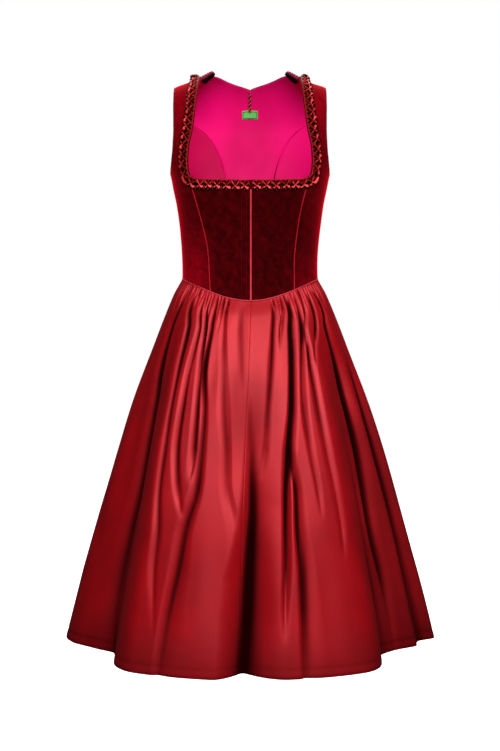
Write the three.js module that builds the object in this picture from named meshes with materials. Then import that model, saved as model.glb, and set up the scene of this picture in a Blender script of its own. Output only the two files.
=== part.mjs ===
// Worn dirndl with no wearer: velvet bodice, ruched satin neck trim, gathered satin skirt.
// Millimetres and radians. +X is the wearer's left, -Y the front, +Z up. The origin lies midway
// between the shoulders, at the height where the straps rest. Left and right are the wearer's.
import * as THREE from 'three';

// Cloth and gaps
const velvetThickness = 1.6;
const liningThickness = 0.9;
const satinThickness = 1.2;
const seamGap = 0.3;
const seatGap = 0.5;

// Bodice: climb is the height measured along the cloth. It equals z up to the arch base, and from
// there it follows the arch over the shoulder up to the shoulder seam.
const archBase = -95;
const archRun = 157;
const shoulderSeam = archBase + archRun;
const sideWaist = -379;
const frontDip = 29;
const backDip = 6;
const underarm = -176;
const closureX = 1.5;
const neckCorner = -178;
const backSeamTop = -52;
const strapInnerX = 92;
const strapOuterX = 141;
const seamTopClear = 1.5;
const armholeTopClear = 4;

// Rings round the bodice: half width, depth to the front and back, squareness of the oval
const bodiceRings = [
  { climb: -412, halfWidth: 134, front: 98, back: 88, square: 2.1 },
  { climb: -379, halfWidth: 129, front: 96, back: 86, square: 2.1 },
  { climb: -330, halfWidth: 128.5, front: 99, back: 88, square: 2.15 },
  { climb: -280, halfWidth: 132, front: 108, back: 92, square: 2.2 },
  { climb: -230, halfWidth: 139, front: 124, back: 98, square: 2.3 },
  { climb: -205, halfWidth: 144, front: 131, back: 101, square: 2.3 },
  { climb: -176, halfWidth: 149.6, front: 129, back: 105, square: 2.3 },
  { climb: -150, halfWidth: 158, front: 122, back: 107, square: 2.3 },
  { climb: -120, halfWidth: 163, front: 115, back: 107, square: 2.3 },
  { climb: -95, halfWidth: 164, front: 111, back: 106, square: 2.3 },
];

// Height of the shoulder line at a distance from the middle
const shoulderLine = [
  { x: 0, z: 38 },
  { x: 41, z: 26 },
  { x: 70, z: 17 },
  { x: 92, z: 7 },
  { x: 112, z: -1.6 },
  { x: 144, z: -12 },
  { x: 170, z: -24 },
];

// Front princess seam: distance from the middle on each side
const frontSeam = [
  { climb: -412, right: 73, left: 83 },
  { climb: -334, right: 76.5, left: 82 },
  { climb: -302, right: 80, left: 84.5 },
  { climb: -271, right: 87, left: 88.5 },
  { climb: -241, right: 95, left: 93.5 },
  { climb: -203, right: 106, left: 103 },
  { climb: -178, right: 111, left: 111 },
];

// Front neck edge: up the strap, and along the bottom of the square neckline
const strapEdge = [
  { climb: -178, x: 111 },
  { climb: -168, x: 113.4 },
  { climb: -150, x: 114.3 },
  { climb: -122, x: 112 },
  { climb: -97, x: 106.4 },
  { climb: -71, x: 102.5 },
  { climb: -17, x: 97 },
  { climb: 62, x: 92 },
];
const neckBottom = [
  { x: 0, climb: -188.6 },
  { x: 59, climb: -187 },
  { x: 92, climb: -185.6 },
  { x: 103, climb: -183 },
  { x: 111, climb: -178 },
];

// Armhole edge, front and back
const armholeEdge = [
  { climb: -176, x: 149.6 },
  { climb: -166, x: 147.8 },
  { climb: -150, x: 145.4 },
  { climb: -130, x: 143 },
  { climb: -95, x: 141 },
  { climb: -30, x: 141.4 },
  { climb: 62, x: 141 },
];

// Back neckline and back princess seam
const backNeck = [
  { x: 0, climb: -24 },
  { x: 41, climb: 2 },
  { x: 70, climb: 36 },
  { x: 92, climb: 62 },
];
const backSeam = [
  { climb: -412, x: 40 },
  { climb: -250, x: 41 },
  { climb: -180, x: 47 },
  { climb: -141, x: 57 },
  { climb: -112, x: 71 },
  { climb: -91, x: 88 },
  { climb: -75, x: 110 },
  { climb: -62, x: 128 },
  { climb: -52, x: 142 },
];

// Rows of each panel, shared by the panels that meet at a seam
const waistRows = 8;
const strapRows = 8;
const backArmholeRows = 5;
const shoulderRows = 4;
const crowdUnderarm = 1.5;
const centreColumns = 5;
const sideColumns = 4;
const neckColumns = 4;
const shoulderColumns = 3;

// Neck trim, piping and the small pieces
const trimWidthFront = 16.8;
const trimWidthStrap = 20.5;
const trimHeight = 5.4;
const trimRings = 42;
const trimCorner = 13;
const trimGather = 1.6;
const trimGatherRings = 6;
const trimOverShoulder = 9;
const pipingBelowTrim = 14;
const pipingWidth = 2.6;
const pipingHeight = 1.6;
const bindingSize = 2;
const tabStartX = 83;
const tabEndX = 66;
const tabWidth = 10;
const tabOverlap = 1.5;
const tabHeight = 4.6;
const tabTopHeight = 6;
const labelWidth = 30;
const labelTop = -44.5;
const labelBottom = -60.5;
const labelThickness = 0.8;
const labelClear = 1.9;
const loopWidth = 3.4;
const loopEdge = 1.4;
const loopThickness = 2;
const loopSway = 0.006;
const loopClear = 1.2;
const loopTop = -12;

// Skirt: drop runs from 0 at the waist seam to 1 at the hem
const hemHeight = -1061;
const skirtRings = [
  { drop: 0, halfWidth: 129, front: 97, back: 87 },
  { drop: 0.045, halfWidth: 146, front: 113, back: 103 },
  { drop: 0.185, halfWidth: 185, front: 150, back: 143 },
  { drop: 0.325, halfWidth: 223, front: 186, back: 179 },
  { drop: 0.466, halfWidth: 255, front: 214, back: 207 },
  { drop: 0.607, halfWidth: 284, front: 240, back: 232 },
  { drop: 0.75, halfWidth: 311, front: 263, back: 254 },
  { drop: 0.893, halfWidth: 338, front: 286, back: 276 },
  { drop: 1, halfWidth: 357.5, front: 304, back: 290 },
];
const skirtSquareness = 2.1;
const sideSeamWaist = 80;
const sideSeamHem = 84;
const frontSeamWaist = 0.6;
const frontSeamHem = -3.5;
const seamDrift = 2;
const valleyDrift = 2.5;
const valleyOpening = 0.3;
const valleyClosing = 0.35;
const valleyAtWaist = 0.2;
const frontColumns = 28;
const backColumns = 32;

// Valleys of the skirt, angles in degrees from the front towards the wearer's left. Each valley
// runs from waist to hem angle between two drops, deepens to its depth, and falls away over the
// widths towards the right and the left.
const skirtValleys = [
  { waist: -60, hem: -58, from: 0.02, to: 2, depth: 66, right: 35, left: 22 },
  { waist: -40, hem: -31, from: 0.01, to: 0.9, depth: 9, right: 5, left: 4 },
  { waist: -31, hem: -24.5, from: 0.01, to: 1.4, depth: 15, right: 5, left: 5 },
  { waist: -18, hem: -9.5, from: 0.01, to: 0.6, depth: 5, right: 6, left: 5 },
  { waist: -1, hem: -5.5, from: 0.25, to: 2, depth: 52, right: 5.5, left: 15 },
  { waist: 28, hem: 11, from: 0.01, to: 1, depth: 13, right: 4, left: 5 },
  { waist: 19, hem: 16, from: 0.42, to: 1.6, depth: 14, right: 3, left: 6 },
  { waist: 38, hem: 32, from: 0.01, to: 0.8, depth: 10, right: 5, left: 5 },
  { waist: 59, hem: 56, from: 0.02, to: 2, depth: 72, right: 22, left: 33 },
  { waist: 81, hem: 84, from: 0.1, to: 2, depth: 26, right: 9, left: 5.5 },
  { waist: 96, hem: 103, from: 0.02, to: 2, depth: 34, right: 12, left: 16 },
  { waist: 118, hem: 124, from: 0.02, to: 1.5, depth: 24, right: 10, left: 12 },
  { waist: 140, hem: 147, from: 0.02, to: 2, depth: 46, right: 11, left: 15 },
  { waist: 163, hem: 168, from: 0.02, to: 1.4, depth: 26, right: 11, left: 10 },
  { waist: 184, hem: 189, from: 0.02, to: 2, depth: 44, right: 14, left: 12 },
  { waist: 206, hem: 211, from: 0.02, to: 1.5, depth: 24, right: 10, left: 12 },
  { waist: 228, hem: 229, from: 0.02, to: 2, depth: 42, right: 12, left: 11 },
  { waist: 252, hem: 251, from: 0.02, to: 1.6, depth: 30, right: 12, left: 12 },
];
const ringDrops = [0, 0.035, 0.08, 0.14, 0.22, 0.32, 0.43, 0.55, 0.67, 0.79, 0.9, 1];

// Small steps that a surface's slope is measured over
const angleStep = 0.004;
const climbStep = 0.4;
const dropStep = 0.001;

const finishes = {
  velvet: new THREE.MeshStandardMaterial({ name: 'velvet', color: 0x6b0010, roughness: 0.95 }),
  lining: new THREE.MeshStandardMaterial({ name: 'lining', color: 0xf0146e, roughness: 0.6 }),
  satin: new THREE.MeshStandardMaterial({ name: 'satin', color: 0xb8202c, roughness: 0.4 }),
  ruching: new THREE.MeshStandardMaterial({ name: 'ruching', color: 0xc02020, roughness: 0.5 }),
  piping: new THREE.MeshStandardMaterial({ name: 'piping', color: 0xc4122e, roughness: 0.45 }),
  label: new THREE.MeshStandardMaterial({ name: 'label', color: 0x5cb85c, roughness: 0.8 }),
  cord: new THREE.MeshStandardMaterial({ name: 'cord', color: 0xa04a28, roughness: 0.7 }),
};

// A smooth curve through a table's rows, read at one value of its key column
function readTable(table, key, column, at) {
  const last = table.length - 1;
  const value = THREE.MathUtils.clamp(at, table[0][key], table[last][key]);
  let low = 0;
  while (low < last - 1 && table[low + 1][key] < value) low += 1;
  const slope = (row) => {
    const before = table[Math.max(0, row - 1)];
    const after = table[Math.min(last, row + 1)];
    return (after[column] - before[column]) / (after[key] - before[key]);
  };
  const span = table[low + 1][key] - table[low][key];
  const s = (value - table[low][key]) / span;
  const h = s * s * (3 - 2 * s);
  const rise = span * s * (1 - s);
  const bend = rise * ((1 - s) * slope(low) - s * slope(low + 1));
  return table[low][column] * (1 - h) + table[low + 1][column] * h + bend;
}

// Radius of a squared oval in one direction, as a share of its half axes
function ovalRadius(angle, square) {
  const across = Math.abs(Math.sin(angle)) ** square;
  const along = Math.abs(Math.cos(angle)) ** square;
  return (across + along) ** (-1 / square);
}

// A point on the outside of the bodice
function bodicePoint(angle, climb) {
  const level = Math.min(climb, archBase);
  const bend = (Math.max(0, climb - archBase) / archRun) * (Math.PI / 2);
  const frontAngle = Math.cos(angle) > 0;
  const overTop = bend > Math.PI / 2;
  const depth = readTable(bodiceRings, 'climb', frontAngle === overTop ? 'back' : 'front', level);
  const halfWidth = readTable(bodiceRings, 'climb', 'halfWidth', level);
  const radius = ovalRadius(angle, readTable(bodiceRings, 'climb', 'square', level));
  const x = halfWidth * radius * Math.sin(angle);
  const y = -depth * radius * Math.cos(angle) * Math.cos(bend);
  const top = readTable(shoulderLine, 'x', 'z', Math.abs(x));
  const z = climb <= archBase ? climb : archBase + (top - archBase) * Math.sin(bend);
  return new THREE.Vector3(x, y, z);
}

// Angle on the bodice at a distance from the middle, on the front or on the back
function angleAt(x, climb, onBack) {
  const level = Math.min(climb, archBase);
  const square = readTable(bodiceRings, 'climb', 'square', level);
  const share = Math.min(1, Math.abs(x) / readTable(bodiceRings, 'climb', 'halfWidth', level));
  const along = (1 - share ** square) ** (1 / square);
  const angle = Math.atan2(share * Math.sign(x || 1), along);
  return onBack ? Math.PI - angle : angle;
}

// Height of the waist seam: it dips at the front and a little at the back
function waistHeight(angle) {
  const share = (1 + Math.cos(Math.PI * Math.sin(angle))) / 2;
  return sideWaist - (Math.cos(angle) > 0 ? frontDip * share ** 0.9 : backDip * share);
}

// How far the skirt's valleys draw the cloth in
function valleyDepth(angle, drop) {
  const degrees = THREE.MathUtils.radToDeg(angle);
  let depth = 0;
  for (const valley of skirtValleys) {
    const { from, to } = valley;
    const centre = valley.hem + (valley.waist - valley.hem) * (1 - drop) ** valleyDrift;
    const turn = THREE.MathUtils.euclideanModulo(degrees - centre + 180, 360) - 180;
    const share = Math.min(1, Math.abs(turn) / (turn < 0 ? valley.right : valley.left));
    const opening = THREE.MathUtils.smoothstep(drop, from, from + valleyOpening);
    const closing = 1 - THREE.MathUtils.smoothstep(drop, to - valleyClosing, to);
    const fullness = valleyAtWaist + (1 - valleyAtWaist) * drop;
    const reach = valley.depth * fullness * opening * closing;
    depth += (reach * (1 + Math.cos(Math.PI * share))) / 2;
  }
  return depth;
}

// A point on the outside of the skirt
function skirtPoint(angle, drop) {
  const side = Math.cos(angle) > 0 ? 'front' : 'back';
  const halfWidth = readTable(skirtRings, 'drop', 'halfWidth', drop);
  const depth = readTable(skirtRings, 'drop', side, drop);
  const radius = ovalRadius(angle, skirtSquareness);
  const x = halfWidth * radius * Math.sin(angle);
  const y = -depth * radius * Math.cos(angle);
  const drawnIn = 1 - valleyDepth(angle, drop) / Math.hypot(x, y);
  const waist = waistHeight(angle) - seamGap;
  return new THREE.Vector3(x * drawnIn, y * drawnIn, waist + (hemHeight - waist) * drop);
}

// A surface's outward normal, from points a small step apart
function surfaceNormal(surface, u, v, stepU, stepV) {
  const across = surface(u + stepU, v).sub(surface(u - stepU, v));
  const along = surface(u, v + stepV).sub(surface(u, v - stepV));
  return across.cross(along).normalize();
}

function bodiceNormal(angle, climb) {
  return surfaceNormal(bodicePoint, angle, climb, angleStep, climbStep);
}

function skirtNormal(angle, drop) {
  const inside = THREE.MathUtils.clamp(drop, 2 * dropStep, 1 - 2 * dropStep);
  return surfaceNormal(skirtPoint, angle, inside, angleStep, -dropStep);
}

// A named closed mesh, its faces turned to point out
function solid(name, finish, points, faces) {
  const volume = faces.reduce((sum, [a, b, c]) => {
    return sum + points[a].dot(points[b].clone().cross(points[c]));
  }, 0);
  const indices = faces.flatMap(([a, b, c]) => (volume > 0 ? [a, b, c] : [a, c, b]));
  const geometry = new THREE.BufferGeometry();
  const positions = points.flatMap((point) => point.toArray());
  geometry.setAttribute('position', new THREE.Float32BufferAttribute(positions, 3));
  geometry.setIndex(indices);
  geometry.computeVertexNormals();
  const mesh = new THREE.Mesh(geometry, finish.clone());
  mesh.name = name;
  return mesh;
}

// A wall of cloth between an outer and an inner grid of points, closed round its rim
function wall(name, finish, outer, inner) {
  const rows = outer.length;
  const columns = outer[0].length;
  const points = [...outer.flat(), ...inner.flat()];
  const out = (row, column) => row * columns + column;
  const into = (row, column) => rows * columns + out(row, column);
  const faces = [];
  const quad = (a, b, c, d) => faces.push([a, b, c], [a, c, d]);
  for (let row = 0; row < rows - 1; row += 1) {
    for (let column = 0; column < columns - 1; column += 1) {
      const corners = [[row, column], [row, column + 1], [row + 1, column + 1], [row + 1, column]];
      const [a, b, c, d] = corners.map(([r, k]) => outer[r][k]);
      if (a.distanceTo(c) > b.distanceTo(d)) corners.push(corners.shift());
      quad(...corners.map(([r, k]) => out(r, k)));
      const [e, f, g, h] = corners.map(([r, k]) => into(r, k));
      faces.push([e, g, f], [e, h, g]);
    }
    const end = columns - 1;
    quad(out(row, 0), out(row + 1, 0), into(row + 1, 0), into(row, 0));
    quad(out(row, end), into(row, end), into(row + 1, end), out(row + 1, end));
  }
  for (let column = 0; column < columns - 1; column += 1) {
    const end = rows - 1;
    quad(out(0, column), into(0, column), into(0, column + 1), out(0, column + 1));
    quad(out(end, column), out(end, column + 1), into(end, column + 1), into(end, column));
  }
  return solid(name, finish, points, faces);
}

// A strip along a list of rings of points, closed at its ends or joined into a loop
function tube(name, finish, rings, loop) {
  const count = rings[0].length;
  const points = rings.flat();
  const faces = [];
  const spans = loop ? rings.length : rings.length - 1;
  for (let ring = 0; ring < spans; ring += 1) {
    const next = (ring + 1) % rings.length;
    for (let side = 0; side < count; side += 1) {
      const turn = (side + 1) % count;
      const a = ring * count + side;
      const b = ring * count + turn;
      const c = next * count + turn;
      const d = next * count + side;
      faces.push([a, b, c], [a, c, d]);
    }
  }
  if (!loop) {
    const last = (rings.length - 1) * count;
    for (let side = 1; side < count - 1; side += 1) {
      faces.push([0, side + 1, side], [last, last + side, last + side + 1]);
    }
  }
  return solid(name, finish, points, faces);
}

// A place on the bodice is an angle and a climb. This one lies between two others.
function blend(a, b, share) {
  return {
    angle: a.angle + (b.angle - a.angle) * share,
    climb: a.climb + (b.climb - a.climb) * share,
  };
}

// A bodice panel: places between an inner and an outer edge, row by row. The bottom row is led
// along the waist, and the top row along its own edge if it has one.
function panelPlaces(inner, outer, columns, topEdge) {
  const lastRow = inner.length - 1;
  return inner.map((start, row) => {
    const end = outer[row];
    const width = bodicePoint(start.angle, start.climb)
      .distanceTo(bodicePoint(end.angle, end.climb));
    const inset = seamGap / 2 / width;
    const lift = row / lastRow;
    return Array.from({ length: columns + 1 }, (_, column) => {
      const share = inset + (1 - 2 * inset) * (column / columns);
      const place = blend(start, end, share);
      const foot = blend(inner[0], outer[0], share);
      place.climb += (waistHeight(foot.angle) + seamGap - foot.climb) * (1 - lift);
      if (topEdge) {
        const straightTop = blend(inner[lastRow], outer[lastRow], share);
        const top = topEdge(share);
        place.angle += (top.angle - straightTop.angle) * lift ** 2;
        place.climb += (top.climb - straightTop.climb) * lift ** 2;
      }
      return place;
    });
  });
}

// A place mirrored from the wearer's left to the right
function mirrored(place) {
  return { angle: -place.angle, climb: place.climb };
}

function bodiceWall(name, finish, places, outside, thickness) {
  const layer = (depth) => places.map((row) => row.map(({ angle, climb }) => {
    return bodicePoint(angle, climb).addScaledVector(bodiceNormal(angle, climb), -depth);
  }));
  return wall(name, finish, layer(outside), layer(outside + thickness));
}

// Seam and edge curves, each a list of places from the waist or the underarm upwards
function seamRows(rows, low, high, angleOf) {
  return Array.from({ length: rows + 1 }, (_, row) => {
    const climb = low + (high - low) * (row / rows);
    return { angle: angleOf(climb), climb };
  });
}

// Where a curve meets the waist seam, whose height depends on the angle
function waistOn(angleOf) {
  const settlingSteps = 5;
  let climb = sideWaist;
  for (let step = 0; step < settlingSteps; step += 1) {
    climb = waistHeight(angleOf(climb)) + seamGap;
  }
  return climb;
}

function frontSeamCurve(side) {
  const column = side > 0 ? 'left' : 'right';
  const angleOf = (climb) => angleAt(readTable(frontSeam, 'climb', column, climb), climb, false);
  return seamRows(waistRows, waistOn(angleOf), neckCorner, angleOf);
}

function closureCurve(side) {
  const angleOf = (climb) => angleAt(closureX * side, climb, false);
  return seamRows(waistRows, waistOn(angleOf), neckBottom[0].climb, angleOf);
}

function sideSeamCurve() {
  const angleOf = () => Math.PI / 2;
  return seamRows(waistRows, waistOn(angleOf), underarm, angleOf);
}

function strapCurve() {
  const angleOf = (climb) => angleAt(readTable(strapEdge, 'climb', 'x', climb), climb, false);
  return seamRows(strapRows, neckCorner, shoulderSeam - seamGap, angleOf);
}

function armholeCurve(rows, top, onBack, crowd) {
  return Array.from({ length: rows + 1 }, (_, row) => {
    const climb = underarm + (top - underarm) * (row / rows) ** crowd;
    const x = readTable(armholeEdge, 'climb', 'x', climb);
    return { angle: row === 0 ? Math.PI / 2 : angleAt(x, climb, onBack), climb };
  });
}

function backSeamCurve(top) {
  const fineRows = 60;
  const angleOf = (climb) => angleAt(readTable(backSeam, 'climb', 'x', climb), climb, true);
  const curve = seamRows(fineRows, waistOn(angleOf), top, angleOf);
  return divide(curve, waistRows + backArmholeRows);
}

function frontCentrePlaces(side) {
  const topEdge = (share) => {
    const x = closureX * side + (neckBottom.at(-1).x - closureX * side) * share;
    const climb = readTable(neckBottom, 'x', 'climb', Math.abs(x));
    return { angle: angleAt(x, climb, false), climb };
  };
  return panelPlaces(closureCurve(side), frontSeamCurve(side), centreColumns, topEdge);
}

function frontSidePlaces(side) {
  const inner = [...frontSeamCurve(side), ...strapCurve().slice(1)];
  const armhole = armholeCurve(strapRows, shoulderSeam - seamGap, false, crowdUnderarm);
  return panelPlaces(inner, [...sideSeamCurve(), ...armhole.slice(1)], sideColumns);
}

function backSidePlaces() {
  const top = backSeamTop - armholeTopClear;
  const armhole = armholeCurve(backArmholeRows, top, true, crowdUnderarm);
  const outer = [...sideSeamCurve(), ...armhole.slice(1)];
  return panelPlaces(backSeamCurve(backSeamTop - seamTopClear), outer, sideColumns);
}

function backArmholeTop() {
  return Array.from({ length: shoulderRows }, (_, row) => {
    const climb = backSeamTop + (shoulderSeam - seamGap - backSeamTop) * ((row + 1) / shoulderRows);
    return { angle: angleAt(readTable(armholeEdge, 'climb', 'x', climb), climb, true), climb };
  });
}

function backNeckPlace(x) {
  const climb = Math.min(readTable(backNeck, 'x', 'climb', x), shoulderSeam - seamGap);
  return { angle: angleAt(x, climb, true), climb };
}

function backCentrePlaces() {
  const columns = neckColumns + shoulderColumns;
  const neckShare = neckColumns / columns;
  const outer = [...backSeamCurve(backSeamTop - seamTopClear), ...backArmholeTop()];
  const middle = () => Math.PI;
  const inner = seamRows(outer.length - 1, waistOn(middle), backNeck[0].climb, middle);
  const topEdge = (share) => {
    if (share < neckShare) return backNeckPlace((strapInnerX * share) / neckShare);
    const x = strapInnerX + (strapOuterX - strapInnerX) * (share - neckShare) / (1 - neckShare);
    return { angle: angleAt(x, shoulderSeam, true), climb: shoulderSeam - seamGap };
  };
  const left = panelPlaces(inner, outer, columns, topEdge).map((row) => {
    return [{ angle: Math.PI, climb: row[0].climb }, ...row.slice(1)];
  });
  const right = ({ angle, climb }) => ({ angle: 2 * Math.PI - angle, climb });
  return left.map((row) => [...row.slice(1).reverse().map(right), ...row]);
}

// A strip that lies on the bodice along a path. The section gives for each corner the distance
// across the path and the distance out of the cloth.
function stripRings(path, section, loop) {
  const count = path.length;
  const centres = path.map(({ angle, climb }) => bodicePoint(angle, climb));
  return path.map(({ angle, climb }, index) => {
    const before = centres[loop ? (index + count - 1) % count : Math.max(0, index - 1)];
    const after = centres[loop ? (index + 1) % count : Math.min(count - 1, index + 1)];
    const heading = after.clone().sub(before).normalize();
    const aside = bodiceNormal(angle, climb).cross(heading).normalize();
    const perAngle = bodicePoint(angle + angleStep, climb)
      .sub(bodicePoint(angle - angleStep, climb)).divideScalar(2 * angleStep);
    const perClimb = bodicePoint(angle, climb + climbStep)
      .sub(bodicePoint(angle, climb - climbStep)).divideScalar(2 * climbStep);
    const aa = perAngle.dot(perAngle);
    const ac = perAngle.dot(perClimb);
    const cc = perClimb.dot(perClimb);
    const solve = aa * cc - ac * ac;
    return section(index).map(({ across, out }) => {
      const wanted = aside.clone().multiplyScalar(across);
      const ra = wanted.dot(perAngle);
      const rc = wanted.dot(perClimb);
      const nearAngle = angle + (ra * cc - rc * ac) / solve;
      const nearClimb = climb + (rc * aa - ra * ac) / solve;
      const point = bodicePoint(nearAngle, nearClimb);
      return point.addScaledVector(bodiceNormal(nearAngle, nearClimb), out);
    });
  });
}

// The part of a path between two distances from its ends
function shorten(path, fromStart, fromEnd) {
  const points = path.map(({ angle, climb }) => bodicePoint(angle, climb));
  const lengths = [0];
  for (let index = 1; index < points.length; index += 1) {
    lengths.push(lengths[index - 1] + points[index].distanceTo(points[index - 1]));
  }
  const placeAt = (length) => {
    let index = 1;
    while (index < points.length - 1 && lengths[index] < length) index += 1;
    const share = (length - lengths[index - 1]) / (lengths[index] - lengths[index - 1]);
    return blend(path[index - 1], path[index], share);
  };
  const end = lengths.at(-1) - fromEnd;
  const apart = 2;
  const inside = path.filter((_, index) => {
    return lengths[index] > fromStart + apart && lengths[index] < end - apart;
  });
  return [placeAt(fromStart), ...inside, placeAt(end)];
}

// A path divided into a number of equal steps
function divide(path, count) {
  const fine = path.map(({ angle, climb }) => bodicePoint(angle, climb));
  const total = fine.slice(1).reduce((sum, point, index) => sum + point.distanceTo(fine[index]), 0);
  const middle = Array.from({ length: count - 1 }, (_, index) => {
    return shorten(path, (total * (index + 1)) / count, 0)[0];
  });
  return [path[0], ...middle, path.at(-1)];
}

// Sections of the strips
function pipingSection() {
  const half = pipingWidth / 2;
  const rise = seatGap + pipingHeight;
  return [
    { across: -half, out: seatGap },
    { across: half, out: seatGap },
    { across: half * 0.8, out: seatGap + pipingHeight * 0.7 },
    { across: 0, out: rise },
    { across: -half * 0.8, out: seatGap + pipingHeight * 0.7 },
  ];
}

// A round binding just past a cloth edge
function bindingSection(direction) {
  const middle = seamGap + bindingSize / 2;
  const sides = 6;
  return Array.from({ length: sides }, (_, side) => {
    const turn = (side / sides) * Math.PI * 2;
    return {
      across: direction * (middle + (bindingSize / 2) * Math.cos(turn)),
      out: (bindingSize / 2) * Math.sin(turn) - velvetThickness / 2,
    };
  });
}

// The ruched trim's section swells and sinks along its length. It spreads on the strap, and it is
// gathered up at the shoulder.
function trimSection(index, direction) {
  const gather = THREE.MathUtils.smoothstep(index, trimRings - trimGatherRings, trimRings - 1);
  const swell = index % 2 === 0 ? 1 : 0.82;
  const height = trimHeight * swell * (1 + (trimGather - 1) * gather);
  const onStrap = THREE.MathUtils.smoothstep(index, trimCorner - 3, trimCorner + 3);
  const width = trimWidthFront + (trimWidthStrap - trimWidthFront) * onStrap;
  const profile = [
    [0, seatGap],
    [0.5, seatGap],
    [1, seatGap],
    [1, height * 0.5],
    [0.76, height * 0.92],
    [0.5, height],
    [0.24, height * 0.92],
    [0, height * 0.5],
  ];
  return profile.map(([share, out]) => ({ across: direction * width * share, out }));
}

function piping(name, path) {
  return tube(name, finishes.piping, stripRings(path, pipingSection, false), false);
}

// The trim's path: from the closure along the neckline, round the corner, over the shoulder
function trimPath(side) {
  const start = closureX * side + pipingWidth / 2 + 1;
  const crowdCorner = 0.8;
  const bottom = [];
  const bottomSteps = 24;
  for (let step = 0; step <= bottomSteps; step += 1) {
    const x = start + (neckBottom.at(-1).x - start) * (step / bottomSteps) ** crowdCorner;
    const climb = readTable(neckBottom, 'x', 'climb', Math.abs(x));
    bottom.push({ angle: angleAt(x, climb, false), climb });
  }
  const strap = [];
  const strapSteps = 40;
  const top = shoulderSeam + trimOverShoulder;
  for (let step = 1; step <= strapSteps; step += 1) {
    const climb = neckCorner + (top - neckCorner) * (step / strapSteps) ** (1 / crowdCorner);
    const x = readTable(strapEdge, 'climb', 'x', climb);
    strap.push({ angle: angleAt(x, climb, false), climb });
  }
  return divide([...bottom, ...strap], trimRings);
}

// The middle of the label and the loop lies on the lining's inner face
const inLining = velvetThickness + seamGap + liningThickness;

function climbAtHeight(z) {
  const share = (z - archBase) / (shoulderLine[0].z - archBase);
  return archBase + (Math.asin(share) / (Math.PI / 2)) * archRun;
}

function labelPiece() {
  const columns = 4;
  const rows = 2;
  const layer = (depth) => Array.from({ length: rows + 1 }, (_, row) => {
    const climb = climbAtHeight(labelBottom + (labelTop - labelBottom) * (row / rows));
    return Array.from({ length: columns + 1 }, (_, column) => {
      const angle = angleAt(labelWidth * (0.5 - column / columns), climb, true);
      return bodicePoint(angle, climb).addScaledVector(bodiceNormal(angle, climb), -depth);
    });
  });
  const face = inLining + labelClear;
  return wall('label', finishes.label, layer(face), layer(face + labelThickness));
}

function hangerLoop() {
  const steps = 8;
  const path = Array.from({ length: steps + 1 }, (_, step) => {
    const climb = climbAtHeight(labelTop + 1 + (loopTop - labelTop - 1) * (step / steps));
    return { angle: Math.PI + (step % 2 === 0 ? loopSway : -loopSway), climb };
  });
  const near = inLining + loopClear;
  const section = () => [
    { across: -loopWidth / 2, out: -near },
    { across: loopWidth / 2, out: -near },
    { across: loopWidth / 2, out: -near - loopEdge },
    { across: 0, out: -near - loopThickness },
    { across: -loopWidth / 2, out: -near - loopEdge },
  ];
  return tube('hanger_loop', finishes.cord, stripRings(path, section, false), false);
}

function shoulderTab(name, side) {
  const steps = 4;
  const path = Array.from({ length: steps + 1 }, (_, step) => {
    const place = backNeckPlace(tabStartX + (tabEndX - tabStartX) * (step / steps));
    return side > 0 ? place : mirrored(place);
  });
  const seat = 2 * seatGap;
  const section = () => [
    { across: side * tabOverlap, out: seat },
    { across: -side * tabWidth, out: seat },
    { across: -side * tabWidth, out: tabHeight * 0.6 },
    { across: -side * tabWidth * 0.5, out: tabHeight },
    { across: side * tabOverlap, out: tabTopHeight },
  ];
  return tube(name, finishes.ruching, stripRings(path, section, false), false);
}

// Bodice, its lining, trims and edges for one side
function bodiceSide(side) {
  const word = side > 0 ? 'left' : 'right';
  const place = (value) => (side > 0 ? value : mirrored(value));
  const grid = (rows) => rows.map((row) => row.map(place));
  const group = new THREE.Group();
  const { velvet, lining, ruching, piping: cordFinish } = finishes;
  group.add(bodiceWall(`bodice_front_centre_${word}`, velvet, grid(frontCentrePlaces(side)), 0,
    velvetThickness));
  group.add(bodiceWall(`bodice_front_side_${word}`, velvet, grid(frontSidePlaces(side)), 0,
    velvetThickness));
  const backSide = grid(backSidePlaces());
  group.add(bodiceWall(`bodice_back_side_${word}`, velvet, backSide, 0, velvetThickness));
  group.add(bodiceWall(`lining_back_side_${word}`, lining, backSide, velvetThickness + seamGap,
    liningThickness));
  const trimStrip = stripRings(trimPath(side).map(place),
    (index) => trimSection(index, -side), false);
  group.add(tube(`neck_trim_${word}`, ruching, trimStrip, false));
  group.add(shoulderTab(`shoulder_tab_${word}`, side));
  const waistClear = pipingWidth + 1;
  const trimClear = trimWidthFront + pipingBelowTrim;
  group.add(piping(`piping_front_${word}`,
    shorten(frontSeamCurve(side).map(place), waistClear, trimClear)));
  group.add(piping(`piping_back_${word}`,
    shorten(backSeamCurve(backSeamTop - seamTopClear).map(place), waistClear, seamTopClear)));
  const frontHole = armholeCurve(strapRows, shoulderSeam, false, crowdUnderarm);
  const backHole = armholeCurve(backArmholeRows, backSeamTop, true, crowdUnderarm);
  const shoulderHole = backArmholeTop().slice(0, -1);
  const hole = [...frontHole, ...shoulderHole.reverse(), ...backHole.slice(1).reverse()];
  const holeRings = stripRings(hole.map(place), () => bindingSection(-side), true);
  group.add(tube(`armhole_piping_${word}`, cordFinish, holeRings, true));
  return group;
}

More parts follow.
